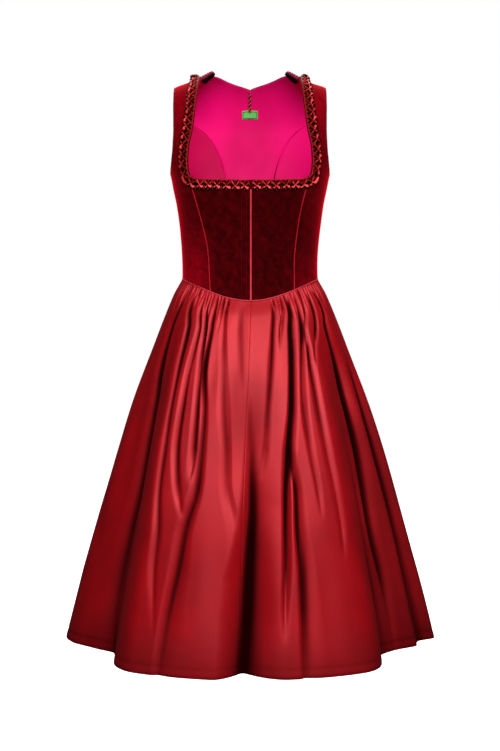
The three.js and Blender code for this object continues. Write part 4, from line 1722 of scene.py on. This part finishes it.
@dataclass
class ShoulderTab(Assembly):
    """The trim's end, folded over the back neckline. Its upper face is dark pink, and under its
    ruched edge a painted shadow makes it black."""

    start: Triple = (91.5, -5.0, -0.5)
    end: Triple = (67.5, 24.0, 19.5)
    half_height: float = 9.0
    half_depth: float = 3.6
    steps: int = 72
    sides: int = 32

    def tab(self, side: Side) -> None:
        """Makes the tab of one side.

        Args:
            side: The wearer's side.
        """
        random = np.random.default_rng(41 + side.value)
        share = np.linspace(0, 1, self.steps + 1)[:, None]
        start, end = np.array(self.start), np.array(self.end)
        start[0], end[0] = side.value * start[0], side.value * end[0]
        up = unit(np.array([-(end - start)[2], 0.0, (end - start)[0]]) * -side.value)
        turn = (np.arange(self.sides) / self.sides * 2 * np.pi)[None, :]
        taper = np.clip(1 - np.abs(2 * share - 1) ** 9, 0.05, 1) ** 0.5 * (1 - 0.42 * share)
        folds = np.sin(share * 40 + 3 * np.cos(turn) + random.uniform(0, 6))
        high = self.half_height * np.cos(turn) * taper * (1 + 0.06 * folds)
        deep = self.half_depth * np.sin(turn) * taper * (1 + 0.08 * folds)
        rings = (start + (end - start) * share[..., None] + up * high[..., None]
                 + np.array([0.0, 1.0, 0.0]) * deep[..., None])
        level = np.cos(turn) * np.ones_like(share)
        ruched = 0.15 + 0.7 * (folds > 0.1)
        # Painted shadow: the underside is painted black; the upper face is dark pink and the band
        # between is ruched.
        shade = np.where(level > 0.35, 0.66, np.where(level > 0.0, ruched, 0.02))
        cloth = Cloth()
        if side is Side.RIGHT:
            rings, shade = rings[:, ::-1], shade[:, ::-1]
        cloth.add_tube(rings, shade=shade)
        piece = make_piece(f"turned_tab_{side.word}", cloth, [self.wardrobe.tab], Slot.RUCHING,
                           [f"shoulder_tab_{side.word}"])

    def build(self) -> None:
        """Makes both tabs."""
        for side in Side:
            self.tab(side)


@dataclass
class LabelAndLoop(Assembly):
    """A plain green woven label at the back of the neck, and the hanger loop above it."""

    width: float = 30.0
    top: float = -44.5
    bottom: float = -60.5
    thickness: float = 0.7
    border: float = 1.6
    clearance: float = 1.5
    loop_top: float = -10.0
    strand: float = 1.0
    twists: float = 4.5

    def climb_at(self, z: Array) -> Array:
        """The climb on the middle of the back at a height.

        Args:
            z: Heights in millimetres.

        Returns:
            The climbs.
        """
        base, top = FORM.arch_base, float(SHOULDER_LINE.columns["z"][0])
        share = np.arcsin((np.asarray(z) - base) / (top - base)) / (np.pi / 2)
        return base + share * FORM.arch_run

    def inner_point(self, x: Array, z: Array, depth: Array) -> Array:
        """Points inside the back, a distance in from the outside of the velvet.

        Args:
            x: Distance towards the wearer's left.
            z: Height.
            depth: Distance in.

        Returns:
            Points in millimetres.
        """
        climb = self.climb_at(z)
        places = np.stack([FORM.angle_at(x, climb, on_back=True), climb], axis=-1)
        return FORM.point(places) - FORM.normal(places) * np.asarray(depth)[..., None]

    def build(self) -> None:
        """Makes the label, its border and the loop."""
        face = Bodice.velvet + SEAM_GAP + Bodice.lining + self.clearance
        x = np.linspace(self.width / 2, -self.width / 2, 31)[None, :]
        z = np.linspace(self.bottom, self.top, 17)[:, None]
        x, z = np.broadcast_arrays(x, z)
        curl = 0.5 * (np.abs(x) / (self.width / 2)) ** 4 + 0.12 * wave_noise(x / 9, z / 9, 3)
        back = self.inner_point(x, z, face + curl)
        front = self.inner_point(x, z, face + curl + self.thickness)
        cloth = Cloth()
        cloth.add_shell(back, front, grid_map(back), 0)
        label = make_piece("plain_label", cloth, [self.wardrobe.label], Slot.LABEL, ["label"])
        self.hem(face + self.thickness + 0.1)
        self.loop(face + 0.6)

    def hem(self, depth: float) -> None:
        """The woven border of the label, a frame of raised thread.

        Args:
            depth: Its distance in.
        """
        half, inset = self.width / 2 - self.border, self.border
        low, high = self.bottom + inset, self.top - inset
        steps = 40
        x = np.concatenate([np.linspace(-half, half, steps), np.full(steps, half),
                            np.linspace(half, -half, steps), np.full(steps, -half)])
        z = np.concatenate([np.full(steps, low), np.linspace(low, high, steps),
                            np.full(steps, high), np.linspace(high, low, steps)])
        turn = np.arange(8) / 8 * 2 * np.pi
        centre = self.inner_point(x, z, np.full_like(x, depth + 0.4))
        heading = unit(np.roll(centre, -1, axis=0) - np.roll(centre, 1, axis=0))
        out = np.array([0.0, -1.0, 0.0])
        aside = unit(np.cross(heading, out))
        rings = (centre[:, None, :] + 0.55 * np.cos(turn)[None, :, None] * aside[:, None, :]
                 + 0.3 * np.sin(turn)[None, :, None] * out)
        cloth = Cloth()
        cloth.add_tube(rings, loop=True)
        make_piece("label_border", cloth, [self.wardrobe.label_edge], Slot.LABEL)

    def loop(self, depth: float) -> None:
        """The loop: two strands twisted round each other, from the label to the neck edge.

        Args:
            depth: Its distance in.
        """
        cloth = Cloth()
        steps = 150
        z = np.linspace(self.top - 3, self.loop_top, steps + 1)
        share = np.linspace(0, 1, steps + 1)
        sides = 8
        turn = np.arange(sides) / sides * 2 * np.pi
        for mark, phase in enumerate((0.0, np.pi)):
            angle = share * self.twists * 2 * np.pi + phase
            x = 2.0 * np.sin(angle)
            deep = depth + self.strand + 1.1 * (1 + np.cos(angle))
            centre = self.inner_point(x, z, deep)
            heading = unit(np.gradient(centre, axis=0))
            aside = unit(np.cross(heading, np.array([0.0, -1.0, 0.0])))
            over = np.cross(aside, heading)
            rings = (centre[:, None, :]
                     + self.strand * np.cos(turn)[None, :, None] * aside[:, None, :]
                     + self.strand * np.sin(turn)[None, :, None] * over[:, None, :])
            cloth.add_tube(rings, mark=mark)
        make_piece("twisted_loop", cloth, [self.wardrobe.cord, self.wardrobe.dark_cord],
                   Slot.CORD, ["hanger_loop"])


# Skirt
# -----


@dataclass(frozen=True)
class Valley:
    """A deep fold of the skirt between two ridges. Angles and widths are in degrees."""

    waist: float
    hem: float
    start: float
    end: float
    depth: float
    right: float
    left: float

    def sink(self, degrees: Array, drop: Array) -> Array:
        """How far the cloth is drawn in.

        Args:
            degrees: Angles from the front.
            drop: Shares of the way down.

        Returns:
            Distances in millimetres.
        """
        centre = self.hem + (self.waist - self.hem) * (1 - drop) ** 2.5
        turn = (degrees - centre + 180) % 360 - 180
        share = np.abs(turn) / np.where(turn < 0, self.right, self.left)
        opening = smoothstep(drop, self.start, self.start + 0.3)
        closing = 1 - smoothstep(drop, self.end - 0.35, self.end)
        reach = self.depth * (0.2 + 0.8 * drop) * opening * closing
        return reach * (1 + np.cos(np.pi * np.clip(share, 0, 1))) / 2


@dataclass(frozen=True)
class Crease:
    """A crease that follows its own line down the skirt.

    Each row holds the drop, the degrees, the depth in millimetres, and the widths to the
    wearer's right and left in degrees.
    """

    rows: tuple[Five, ...]
    sharp: float = 2.0

    def sink(self, degrees: Array, drop: Array) -> Array:
        """How far the cloth is drawn in.

        Args:
            degrees: Angles from the front.
            drop: Shares of the way down.

        Returns:
            Distances in millimetres.
        """
        drops, centres, depths, rights, lefts = np.array(self.rows).T
        centre = Table(drop=drops, degrees=centres).read("degrees", drop)
        depth = np.interp(drop, drops, depths)
        turn = (degrees - centre + 180) % 360 - 180
        width = np.where(turn < 0, np.interp(drop, drops, rights), np.interp(drop, drops, lefts))
        share = np.clip(np.sqrt((turn / width) ** 2 + 0.006), 0, 1)
        return depth * (1 - share) ** self.sharp


# The deep folds, from the wearer's right round the front and then the back.
VALLEYS = (
    Valley(-64, -62, 0.02, 2, 64, 31, 26),
    Valley(64, 62, 0.02, 2, 70, 28, 27),
    Valley(81, 84, 0.1, 2, 26, 9, 5.5),
    Valley(96, 103, 0.02, 2, 34, 12, 16),
    Valley(118, 124, 0.02, 1.5, 24, 10, 12),
    Valley(140, 147, 0.02, 2, 46, 11, 15),
    Valley(163, 168, 0.02, 1.4, 26, 11, 10),
    Valley(184, 189, 0.02, 2, 44, 14, 12),
    Valley(206, 211, 0.02, 1.5, 24, 10, 12),
    Valley(228, 229, 0.02, 2, 42, 12, 11),
    Valley(252, 251, 0.02, 1.6, 30, 12, 12),
)
# The creases, in the same order: first those of the front, from right to left, then the back.
CREASES = (
    Crease((
        (0, -53.9, 0, 6, 4.8), (0.07, -59.5, 4, 6, 4.8), (0.12, -64.2, 8, 8.4, 7.2),
        (0.23, -68.8, 10, 7.2, 9.6), (0.34, -64.5, 8, 7.2, 7.2), (0.45, -63.5, 9, 7.2, 9.6),
        (0.56, -63, 12, 7.2, 12), (0.67, -65, 13, 8.4, 14.4), (0.78, -66, 12, 8.4, 14.4),
        (0.88, -65.6, 10, 9.6, 14.4), (1, -61.7, 8, 10.8, 14.4))),
    Crease((
        (0, -48, 0, 2.4, 2.4), (0.062, -47.2, 5, 4.6, 4.3), (0.105, -43.8, 9, 3.8, 3.4),
        (0.214, -43.3, 12, 5.4, 3.7), (0.318, -41.3, 12, 4.3, 3.2), (0.423, -39.5, 12, 4.2, 3.5),
        (0.527, -38, 10, 3.7, 3.2), (0.629, -35.1, 9, 2.9, 3.4), (0.733, -34, 6, 2.6, 2.8),
        (0.835, -31.6, 2, 2.3, 2.2), (0.911, -29.7, 0, 1.7, 1.6))),
    Crease((
        (0, -37.9, 0, 2.4, 2.4), (0.055, -37.6, 5, 2.9, 2.8), (0.099, -35.1, 7, 2.6, 2.5),
        (0.209, -35.6, 8, 2.4, 2.6), (0.313, -34.1, 12, 2.5, 2.6), (0.418, -32.7, 12, 2.8, 2.8),
        (0.52, -29.1, 7, 2.5, 3.1), (0.596, -25.1, 0, 2.3, 2.4))),
    Crease((
        (0, -32.8, 0, 2.4, 2.4), (0.05, -32.9, 6, 2.8, 2.8), (0.096, -30.7, 9, 3.4, 3.2),
        (0.202, -28.8, 9, 2.8, 2.6), (0.307, -26.2, 10.5, 2.8, 2.8), (0.411, -24.6, 11, 2.9, 2.8),
        (0.5, -24, 0, 3, 2.6))),
    Crease((
        (0, -25.6, 0, 2.4, 2.4), (0.044, -26.4, 6, 2.6, 2.6), (0.093, -26.5, 9, 2.4, 3.1),
        (0.2, -25.8, 12, 3.2, 2.6), (0.307, -22.4, 9, 2.6, 2.8), (0.411, -21.3, 9, 3.2, 3.4),
        (0.514, -20.8, 10, 4, 3.2), (0.62, -23.8, 11, 4.1, 3.8), (0.725, -25.1, 13, 3.4, 5.2),
        (0.83, -26.7, 13, 2.4, 6.5), (0.92, -27.3, 10, 2.2, 8.6), (1, -27.4, 7, 2.2, 8.3))),
    Crease((
        (0, -17.9, 0, 2.4, 2.4), (0.038, -18.4, 4, 2.6, 2.6), (0.086, -17.6, 3, 3.2, 2.4),
        (0.192, -14.5, 2.6, 3.4, 2.5), (0.298, -12.5, 3.6, 3.5, 3.5),
        (0.403, -10.2, 4.6, 2.5, 2.6), (0.509, -8.9, 4, 2.9, 2.3), (0.621, -4.8, 2, 3.8, 3),
        (0.728, -3.7, 0, 4.1, 2.9)), 1.0),
    Crease((
        (0, -6.5, 0, 4.6, 4.6), (0.031, -6.3, 1.5, 5.3, 5.2), (0.08, -6.2, 2.6, 7.5, 5.4),
        (0.188, -4.7, 2.4, 6.4, 4), (0.268, -3.8, 0, 3.8, 4)), 1.0),
    Crease((
        (0.25, 0.5, 0, 2.5, 4), (0.33, 0.3, 4, 2.5, 6), (0.45, 0.5, 10, 4.2, 10),
        (0.55, 0.8, 20, 5.5, 12), (0.65, 0.3, 31, 7, 11), (0.75, -0.3, 42, 9.5, 11),
        (0.85, -1.0, 48, 9.5, 12), (1, -2.4, 53, 8, 13)), 1.6),
    Crease((
        (0, 17.4, 0, 2.4, 2.4), (0.037, 17.5, 5, 2.6, 2.6), (0.084, 15.5, 5, 3.2, 3.1),
        (0.191, 12, 5, 3.4, 3.5), (0.296, 8.7, 5, 2.6, 3.5), (0.402, 6.6, 6, 3, 3.6),
        (0.483, 4.4, 0, 2.9, 3.7))),
    Crease((
        (0, 24.5, 0, 2.2, 2.3), (0.033, 25.1, 5, 2.2, 2.3), (0.088, 21, 5, 2.4, 2.5),
        (0.141, 18.3, 0, 1.7, 1.7))),
    Crease((
        (0, 29.7, 0, 2.4, 2.4), (0.047, 30.5, 9, 3.5, 3.7), (0.093, 28.2, 16, 4, 4.1),
        (0.197, 24.2, 16, 3.4, 3.5), (0.302, 20.7, 18, 3.5, 3.5), (0.406, 17.2, 17, 4.1, 3.7),
        (0.51, 14.7, 20, 3, 2.4), (0.614, 13.4, 21, 2.6, 2.2), (0.718, 12.5, 18, 2.4, 2),
        (0.822, 11.2, 8, 2.3, 1.9), (0.911, 10.4, 0, 1.8, 1.7))),
    Crease((
        (0.38, 17.1, 0, 1.7, 2.2), (0.433, 17.7, 8, 2, 3.1), (0.512, 18.4, 15, 2.4, 3.4),
        (0.616, 17.7, 18, 2.5, 4.1), (0.72, 17.6, 18, 2.4, 5.3), (0.824, 17, 16, 2.2, 6.2),
        (0.914, 16.5, 12, 2.2, 6.6), (1, 16, 8, 2.2, 6.4))),
    Crease((
        (0, 36.4, 0, 2.4, 2.4), (0.054, 37.4, 7, 2.8, 2.9), (0.1, 36.2, 13, 3.4, 2.6),
        (0.204, 30.4, 11, 2.8, 2.8), (0.307, 27.2, 11, 3.1, 2.4), (0.413, 26.5, 5, 2.6, 2.6),
        (0.519, 27.1, 4, 2.3, 2), (0.597, 26.9, 0, 1.8, 1.8))),
    Crease((
        (0, 42, 0, 2.4, 2.4), (0.058, 42.4, 6, 2.9, 3.2), (0.104, 38.4, 5, 2.4, 2.4),
        (0.156, 37.3, 9, 3.2, 2.5), (0.208, 36.2, 11, 3.7, 4), (0.313, 34.6, 8, 3.7, 4.1),
        (0.419, 34.4, 6, 3.5, 3.5), (0.525, 34.8, 4, 3.8, 3.1), (0.63, 34.6, 4, 2.5, 2.5),
        (0.708, 33.6, 0, 2, 1.9))),
    Crease((
        (0, 49, 0, 2.4, 2.4), (0.064, 50.6, 6, 3.5, 3.6), (0.111, 48.1, 8, 3.4, 3.7),
        (0.161, 42.1, 4, 2.6, 3.4), (0.213, 38.7, 0, 2.4, 2.2))),
    Crease((
        (0, 56.4, 0, 3.6, 3.6), (0.075, 62.6, 8, 4.3, 4.7), (0.119, 61.5, 14, 6, 6.5),
        (0.231, 67.5, 18, 8.4, 7), (0.34, 68.5, 18, 8.4, 6.2), (0.45, 69, 16, 8.2, 6),
        (0.56, 67.8, 15, 7.8, 4.7), (0.67, 66.8, 15, 6.4, 4.2), (0.78, 68, 16, 5.3, 3.8),
        (0.89, 68, 6, 4.4, 3.1), (1, 67, 0, 4.3, 3))),
    Crease((
        (0.5, 55, 0, 2.9, 2.5), (0.552, 57.3, 5, 6, 2.9), (0.661, 58.6, 7, 7.2, 3.6),
        (0.769, 60.4, 8, 9.6, 4.8), (0.873, 61, 9, 10.8, 7.2), (1, 54, 9, 10.8, 10.8)), 1.4),
    Crease((
        (0.18, 80.5, 2, 3.6, 4.8), (0.35, 82, 6, 4.8, 6), (0.6, 81, 7, 4.8, 7.2),
        (0.8, 79.5, 7, 4.8, 7.2), (0.9, 79, 6, 4.8, 7.2), (1, 79, 5, 4.8, 7.2))),
    Crease((
        (0, 112, 0, 3.6, 3.6), (0.06, 110, 9, 4.8, 4.8), (0.3, 108, 14, 6, 4.8),
        (0.6, 110, 10, 4.8, 6), (0.8, 112, 0, 3.6, 3.6))),
    Crease((
        (0, 130, 0, 3.6, 3.6), (0.08, 131, 8, 3.6, 4.8), (0.35, 134, 15, 4.8, 4.8),
        (0.75, 132, 11, 6, 4.8), (1, 131, 4, 6, 4.8))),
    Crease((
        (0, 148, 0, 2.4, 2.4), (0.05, 150, 7, 3.6, 3.6), (0.25, 154, 13, 4.8, 3.6),
        (0.5, 156, 6, 4.8, 4.8), (0.6, 157, 0, 3.6, 3.6))),
    Crease((
        (0, 158, 0, 2.4, 2.4), (0.07, 157, 9, 3.6, 3.6), (0.3, 160, 16, 4.2, 4.8),
        (0.7, 158, 13, 4.8, 6), (1, 156, 9, 4.8, 7.2))),
    Crease((
        (0, 172, 0, 2.4, 2.4), (0.05, 173, 6, 3.6, 3.6), (0.3, 177, 12, 3.6, 4.8),
        (0.55, 178, 5, 4.8, 4.8), (0.7, 178, 0, 3.6, 3.6))),
    Crease((
        (0.3, 173, 0, 2.4, 3.6), (0.5, 172, 10, 3.6, 4.8), (0.8, 175, 14, 3.6, 7.2),
        (1, 176, 10, 3.6, 7.2))),
    Crease((
        (0, 193, 0, 2.4, 2.4), (0.06, 192, 8, 3.6, 3.6), (0.3, 197, 15, 4.8, 4.2),
        (0.65, 199, 9, 4.8, 4.8), (0.85, 200, 0, 4.8, 4.8))),
    Crease((
        (0, 204, 0, 2.4, 2.4), (0.08, 203, 7, 3.6, 3.6), (0.25, 206, 12, 3.6, 4.8),
        (0.45, 208, 0, 3.6, 3.6))),
    Crease((
        (0, 217, 0, 2.4, 2.4), (0.06, 218, 9, 3.6, 3.6), (0.35, 219, 15, 4.8, 4.8),
        (0.8, 221, 12, 6, 3.6), (1, 222, 7, 6, 3.6))),
    Crease((
        (0, 236, 0, 3.6, 3.6), (0.08, 237, 8, 3.6, 4.8), (0.3, 240, 13, 4.8, 4.8),
        (0.6, 238, 9, 6, 4.8), (0.8, 237, 0, 4.8, 4.8))),
    Crease((
        (0, 247, 0, 3.6, 3.6), (0.1, 249, 8, 3.6, 4.8), (0.4, 252, 14, 4.8, 6),
        (0.9, 255, 9, 6, 6), (1, 256, 7, 6, 6))),
    Crease((
        (0, 264, 0, 3.6, 3.6), (0.1, 266, 6, 4.8, 3.6), (0.45, 268, 9, 6, 4.8),
        (0.8, 269, 0, 4.8, 4.8))),
)


@dataclass
class Skirt(Assembly):
    """The satin skirt: three flared panels gathered into the waist, and the folds they make."""

    hem: float = -1061.0
    squareness: float = 2.1
    thickness: float = 1.1
    side_seam: Pair = (80.0, 84.0)
    front_columns: int = 250
    back_columns: int = 280
    rows: int = 150
    centre_seam: Pair = (0.6, -3.5)
    hem_stitch_height: float = 18.0
    hem_stitch_reach: float = 2.6
    hem_stitch_depth: float = 0.7
    # Width, length and area of each cut, in metres.
    right_cut: Triple = (0.74, 0.70, 0.32)
    left_cut: Triple = (0.76, 0.70, 0.33)
    back_cut: Triple = (1.45, 0.70, 0.70)
    rings: Table = field(default_factory=lambda: Table(
        drop=(0, 0.045, 0.185, 0.325, 0.466, 0.607, 0.75, 0.893, 1),
        half_width=(129, 146, 185, 223, 255, 284, 311, 338, 357.5),
        front=(97, 113, 150, 186, 214, 240, 263, 286, 304),
        back=(87, 103, 143, 179, 207, 232, 254, 276, 290),
    ))
    gathers: list[Crease] = field(default_factory=list)

    def __post_init__(self) -> None:
        """Sets out the small gathers under the waist seam, none on the smooth front middle."""
        random = np.random.default_rng(8)
        degrees = 19.0
        while degrees < 360 - 16.5:
            length = random.uniform(0.02, 0.08) * random.choice([1.0, 1.0, 1.8])
            depth = random.uniform(2.8, 6.4)
            width = random.uniform(0.8, 1.7)
            lean = random.uniform(-0.8, 0.8)
            self.gathers.append(Crease((
                (0.0, degrees, 0.4, width, width), (0.006, degrees, depth * 0.7, width, width),
                (0.018, degrees + lean * 0.2, depth, width, width * 1.2),
                (length * 0.6, degrees + lean * 0.6, depth * 0.6, width, width * 1.2),
                (length + 0.02, degrees + lean, 0.0, width, width))))
            degrees += random.uniform(2.5, 5.0)

    def sink(self, degrees: Array, drop: Array) -> Array:
        """How far folds, creases and gathers draw the cloth in.

        Args:
            degrees: Angles from the front.
            drop: Shares of the way down.

        Returns:
            Distances in millimetres.
        """
        total = sum(valley.sink(degrees, drop) for valley in VALLEYS)
        total = total + sum(crease.sink(degrees, drop) for crease in CREASES)
        top = drop < 0.25
        small = sum(crease.sink(degrees, drop) for crease in self.gathers)
        return total + np.where(top, small, 0.0)

    def point(self, angle: Array, drop: Array) -> Array:
        """Points on the outside of the skirt.

        Args:
            angle: Angles from the front towards the wearer's left.
            drop: Shares of the way from the waist to the hem.

        Returns:
            Points in millimetres.
        """
        half_width = self.rings.read("half_width", drop)
        depth = np.where(np.cos(angle) > 0, self.rings.read("front", drop),
                         self.rings.read("back", drop))
        square = self.squareness
        radius = (np.abs(np.sin(angle)) ** square + np.abs(np.cos(angle)) ** square)
        radius = radius ** (-1 / square)
        x = half_width * radius * np.sin(angle)
        y = -depth * radius * np.cos(angle)
        degrees = np.degrees(angle)
        sink = self.sink(degrees, drop)
        sink = sink + 0.7 * wave_noise(degrees / 16, drop * 2.2, 21) * smoothstep(drop, 0, 0.2)
        drawn_in = 1 - sink / np.hypot(x, y)
        waist = FORM.waist(angle) - SEAM_GAP
        z = waist + (self.hem - waist) * drop
        return np.stack([x * drawn_in, y * drawn_in, z], axis=-1)

    def hollows(self, angle: Array, drop: Array) -> Array:
        """How open the cloth lies, as painted shade: from 0 in the deepest folds to 1 on the
        ridges, and painted darker towards the hem, on the front middle below the waist and on the
        wearer's left side.

        Args:
            angle: Angles from the front.
            drop: Shares of the way down.

        Returns:
            Shares from 0 to 1.
        """
        degrees = np.degrees(angle)
        here = self.sink(degrees, drop)
        reach = 2.2 + 1.5 * (1 - drop)
        near = sum(self.sink(degrees + turn * reach, drop) for turn in (-2, -1, 1, 2)) / 4
        far = sum(self.sink(degrees + turn, drop) for turn in (-11, 11)) / 2
        narrow = np.maximum(here - near, 0) / (1.9 + 8.0 * drop)
        wide = np.maximum(here - far - 5, 0) / 30
        hem = 0.4 * smoothstep(drop, 0.84, 1.0)
        middle = 0.27 * bump(degrees, 21) * bump(drop - 0.31, 0.17)
        side = 0.4 * smoothstep(degrees, 67, 71) * (1 - smoothstep(degrees, 92, 100))
        side = side * smoothstep(drop, 0.3, 0.45)
        return (np.exp(-1.1 * narrow ** 2 - 1.1 * wide ** 1.5)
                * (1 - hem) * (1 - middle) * (1 - side))

    def seam(self, waist: float, hem: float, drop: Array) -> Array:
        """Angles of a skirt seam, in radians."""
        return np.radians(hem + (waist - hem) * (1 - drop) ** 2)

    def panel(self, node: str, right: Pair, left: Pair,
              columns: int, cut: Triple) -> None:
        """One panel of the skirt.

        Args:
            node: Its construction node.
            right: Degrees of its right seam at the waist and the hem.
            left: Degrees of its left seam at the waist and the hem.
            columns: Columns of cloth between them.
            cut: Width, length and area of its cut, in metres; not used.
        """
        drop = (np.linspace(0, 1, self.rows + 1) ** 1.25)[::-1, None]
        start = self.seam(*right, drop)
        end = self.seam(*left, drop)
        share = np.linspace(0, 1, columns + 1)[None, :]
        angle = start + (end - start) * share
        drop = np.broadcast_to(drop, angle.shape)
        outer = self.point(angle, drop)
        normal = grid_normals(outer)
        run = row_lengths(outer)
        edge = np.minimum(run, run[:, -1:] - run)
        outer = outer - normal * (0.35 * bump(edge, 2.0))[..., None]
        above = outer[..., 2] - self.hem
        stitch = bump(above - self.hem_stitch_height, self.hem_stitch_reach)
        drawn = self.hem_stitch_depth * stitch + 0.5 * bump(above, 4)
        outer = outer - normal * drawn[..., None]
        inner = outer - normal * self.thickness
        cloth = Cloth()
        # Painted shade: the folds' painted shade, darker still along the groove of the hem
        # stitching.
        shade = self.hollows(angle, drop) * (1 - 0.4 * stitch)
        cloth.add_shell(outer, inner, grid_map(outer), 1, shade)
        finishes = [self.wardrobe.satin, self.wardrobe.satin_back]
        piece = make_piece(node + "_cloth", cloth, finishes, Slot.SATIN, [node])

    def build(self) -> None:
        """Makes the three panels."""
        waist, hem = self.side_seam
        self.panel("skirt_front_right", (-waist, -hem), self.centre_seam, self.front_columns,
                   self.right_cut)
        self.panel("skirt_front_left", self.centre_seam, self.side_seam, self.front_columns,
                   self.left_cut)
        self.panel("skirt_back", self.side_seam, (360 - waist, 360 - hem), self.back_columns,
                   self.back_cut)


# Studio
# ------


@dataclass
class Softbox:
    """A square of soft light."""

    name: str
    place: Triple
    aim: Triple
    width: float
    height: float
    power: float

    def build(self) -> None:
        """Hangs the light."""
        data = bpy.data.lights.new(self.name, "AREA")
        data.shape = "RECTANGLE"
        data.size, data.size_y = self.width, self.height
        data.energy = self.power
        light = put_in_scene(self.name, data)
        light.location = self.place
        heading = Vector(self.aim) - Vector(self.place)
        light.rotation_euler = heading.to_track_quat("-Z", "Y").to_euler()
        light.visible_camera = False


@dataclass
class Studio:
    """Camera, soft light, white surroundings and a pale floor."""

    camera_place: Triple = (0.0, -3.0, -0.3)
    camera_pitch: float = 85.17
    lens: float = 75.7
    floor_height: float = -1.42
    fill: float = 0.02
    lights: tuple[Softbox, ...] = (
        Softbox("key", (0.25, -2.4, 1.05), (0, 0, -0.6), 3.6, 1.1, 160),
        Softbox("front", (0.0, -3.0, 0.05), (0, 0, -0.6), 2.8, 0.9, 18),
        Softbox("back_left", (0.9, 2.2, 2.1), (0, 0, -0.5), 1.2, 1.2, 60),
        Softbox("back_right", (-0.9, 2.2, 2.1), (0, 0, -0.5), 1.2, 1.2, 60),
    )

    def camera(self) -> None:
        """Sets up the camera."""
        data = bpy.data.cameras.new("camera")
        data.lens = self.lens
        data.sensor_width = 36.0
        camera = put_in_scene("camera", data)
        camera.location = self.camera_place
        camera.rotation_euler = (math.radians(self.camera_pitch), 0, 0)
        bpy.context.scene.camera = camera

    def world(self) -> None:
        """White surroundings, which light the dress only faintly."""
        world = bpy.data.worlds.new("studio")
        bpy.context.scene.world = world
        world.use_nodes = True
        tree = world.node_tree
        tree.nodes.clear()
        path = add_node(tree, "ShaderNodeLightPath")
        seen = add_node(
            tree, "ShaderNodeBackground", values={"Color": (1, 1, 1, 1), "Strength": 1.0})
        cast = add_node(
            tree, "ShaderNodeBackground", values={"Color": (1, 1, 1, 1), "Strength": self.fill})
        both = add_node(
            tree, "ShaderNodeMixShader",
            links={0: path.outputs["Is Camera Ray"], 1: cast.outputs[0], 2: seen.outputs[0]})
        add_node(tree, "ShaderNodeOutputWorld", links={"Surface": both.outputs[0]})

    def floor(self) -> None:
        """A wide pale disc under the dress."""
        count, radius = 96, 60.0
        corners = [(radius * math.cos(2 * math.pi * k / count),
                    radius * math.sin(2 * math.pi * k / count), self.floor_height)
                   for k in range(count)]
        mesh = bpy.data.meshes.new("floor")
        mesh.from_pydata(corners, [], [tuple(range(count))])
        mesh.materials.append(StudioFloor().build())
        floor = put_in_scene("floor", mesh)
        floor.visible_diffuse = False
        floor.visible_glossy = False

    def build(self) -> None:
        """Sets up the whole studio."""
        self.camera()
        self.world()
        self.floor()
        for light in self.lights:
            light.build()
        scene = bpy.context.scene
        scene.view_settings.view_transform = "Standard"
        scene.view_settings.look = "None"


def main() -> None:
    """Builds the dress and the studio."""
    logging.basicConfig(level=logging.INFO, format="%(name)s: %(message)s")
    Studio().build()
    wardrobe = Wardrobe()
    for part in (Bodice, Pipings, Stitches, NeckTrim, ShoulderTab, LabelAndLoop, Skirt):
        part(wardrobe).build()


if __name__ == "__main__":
    main()
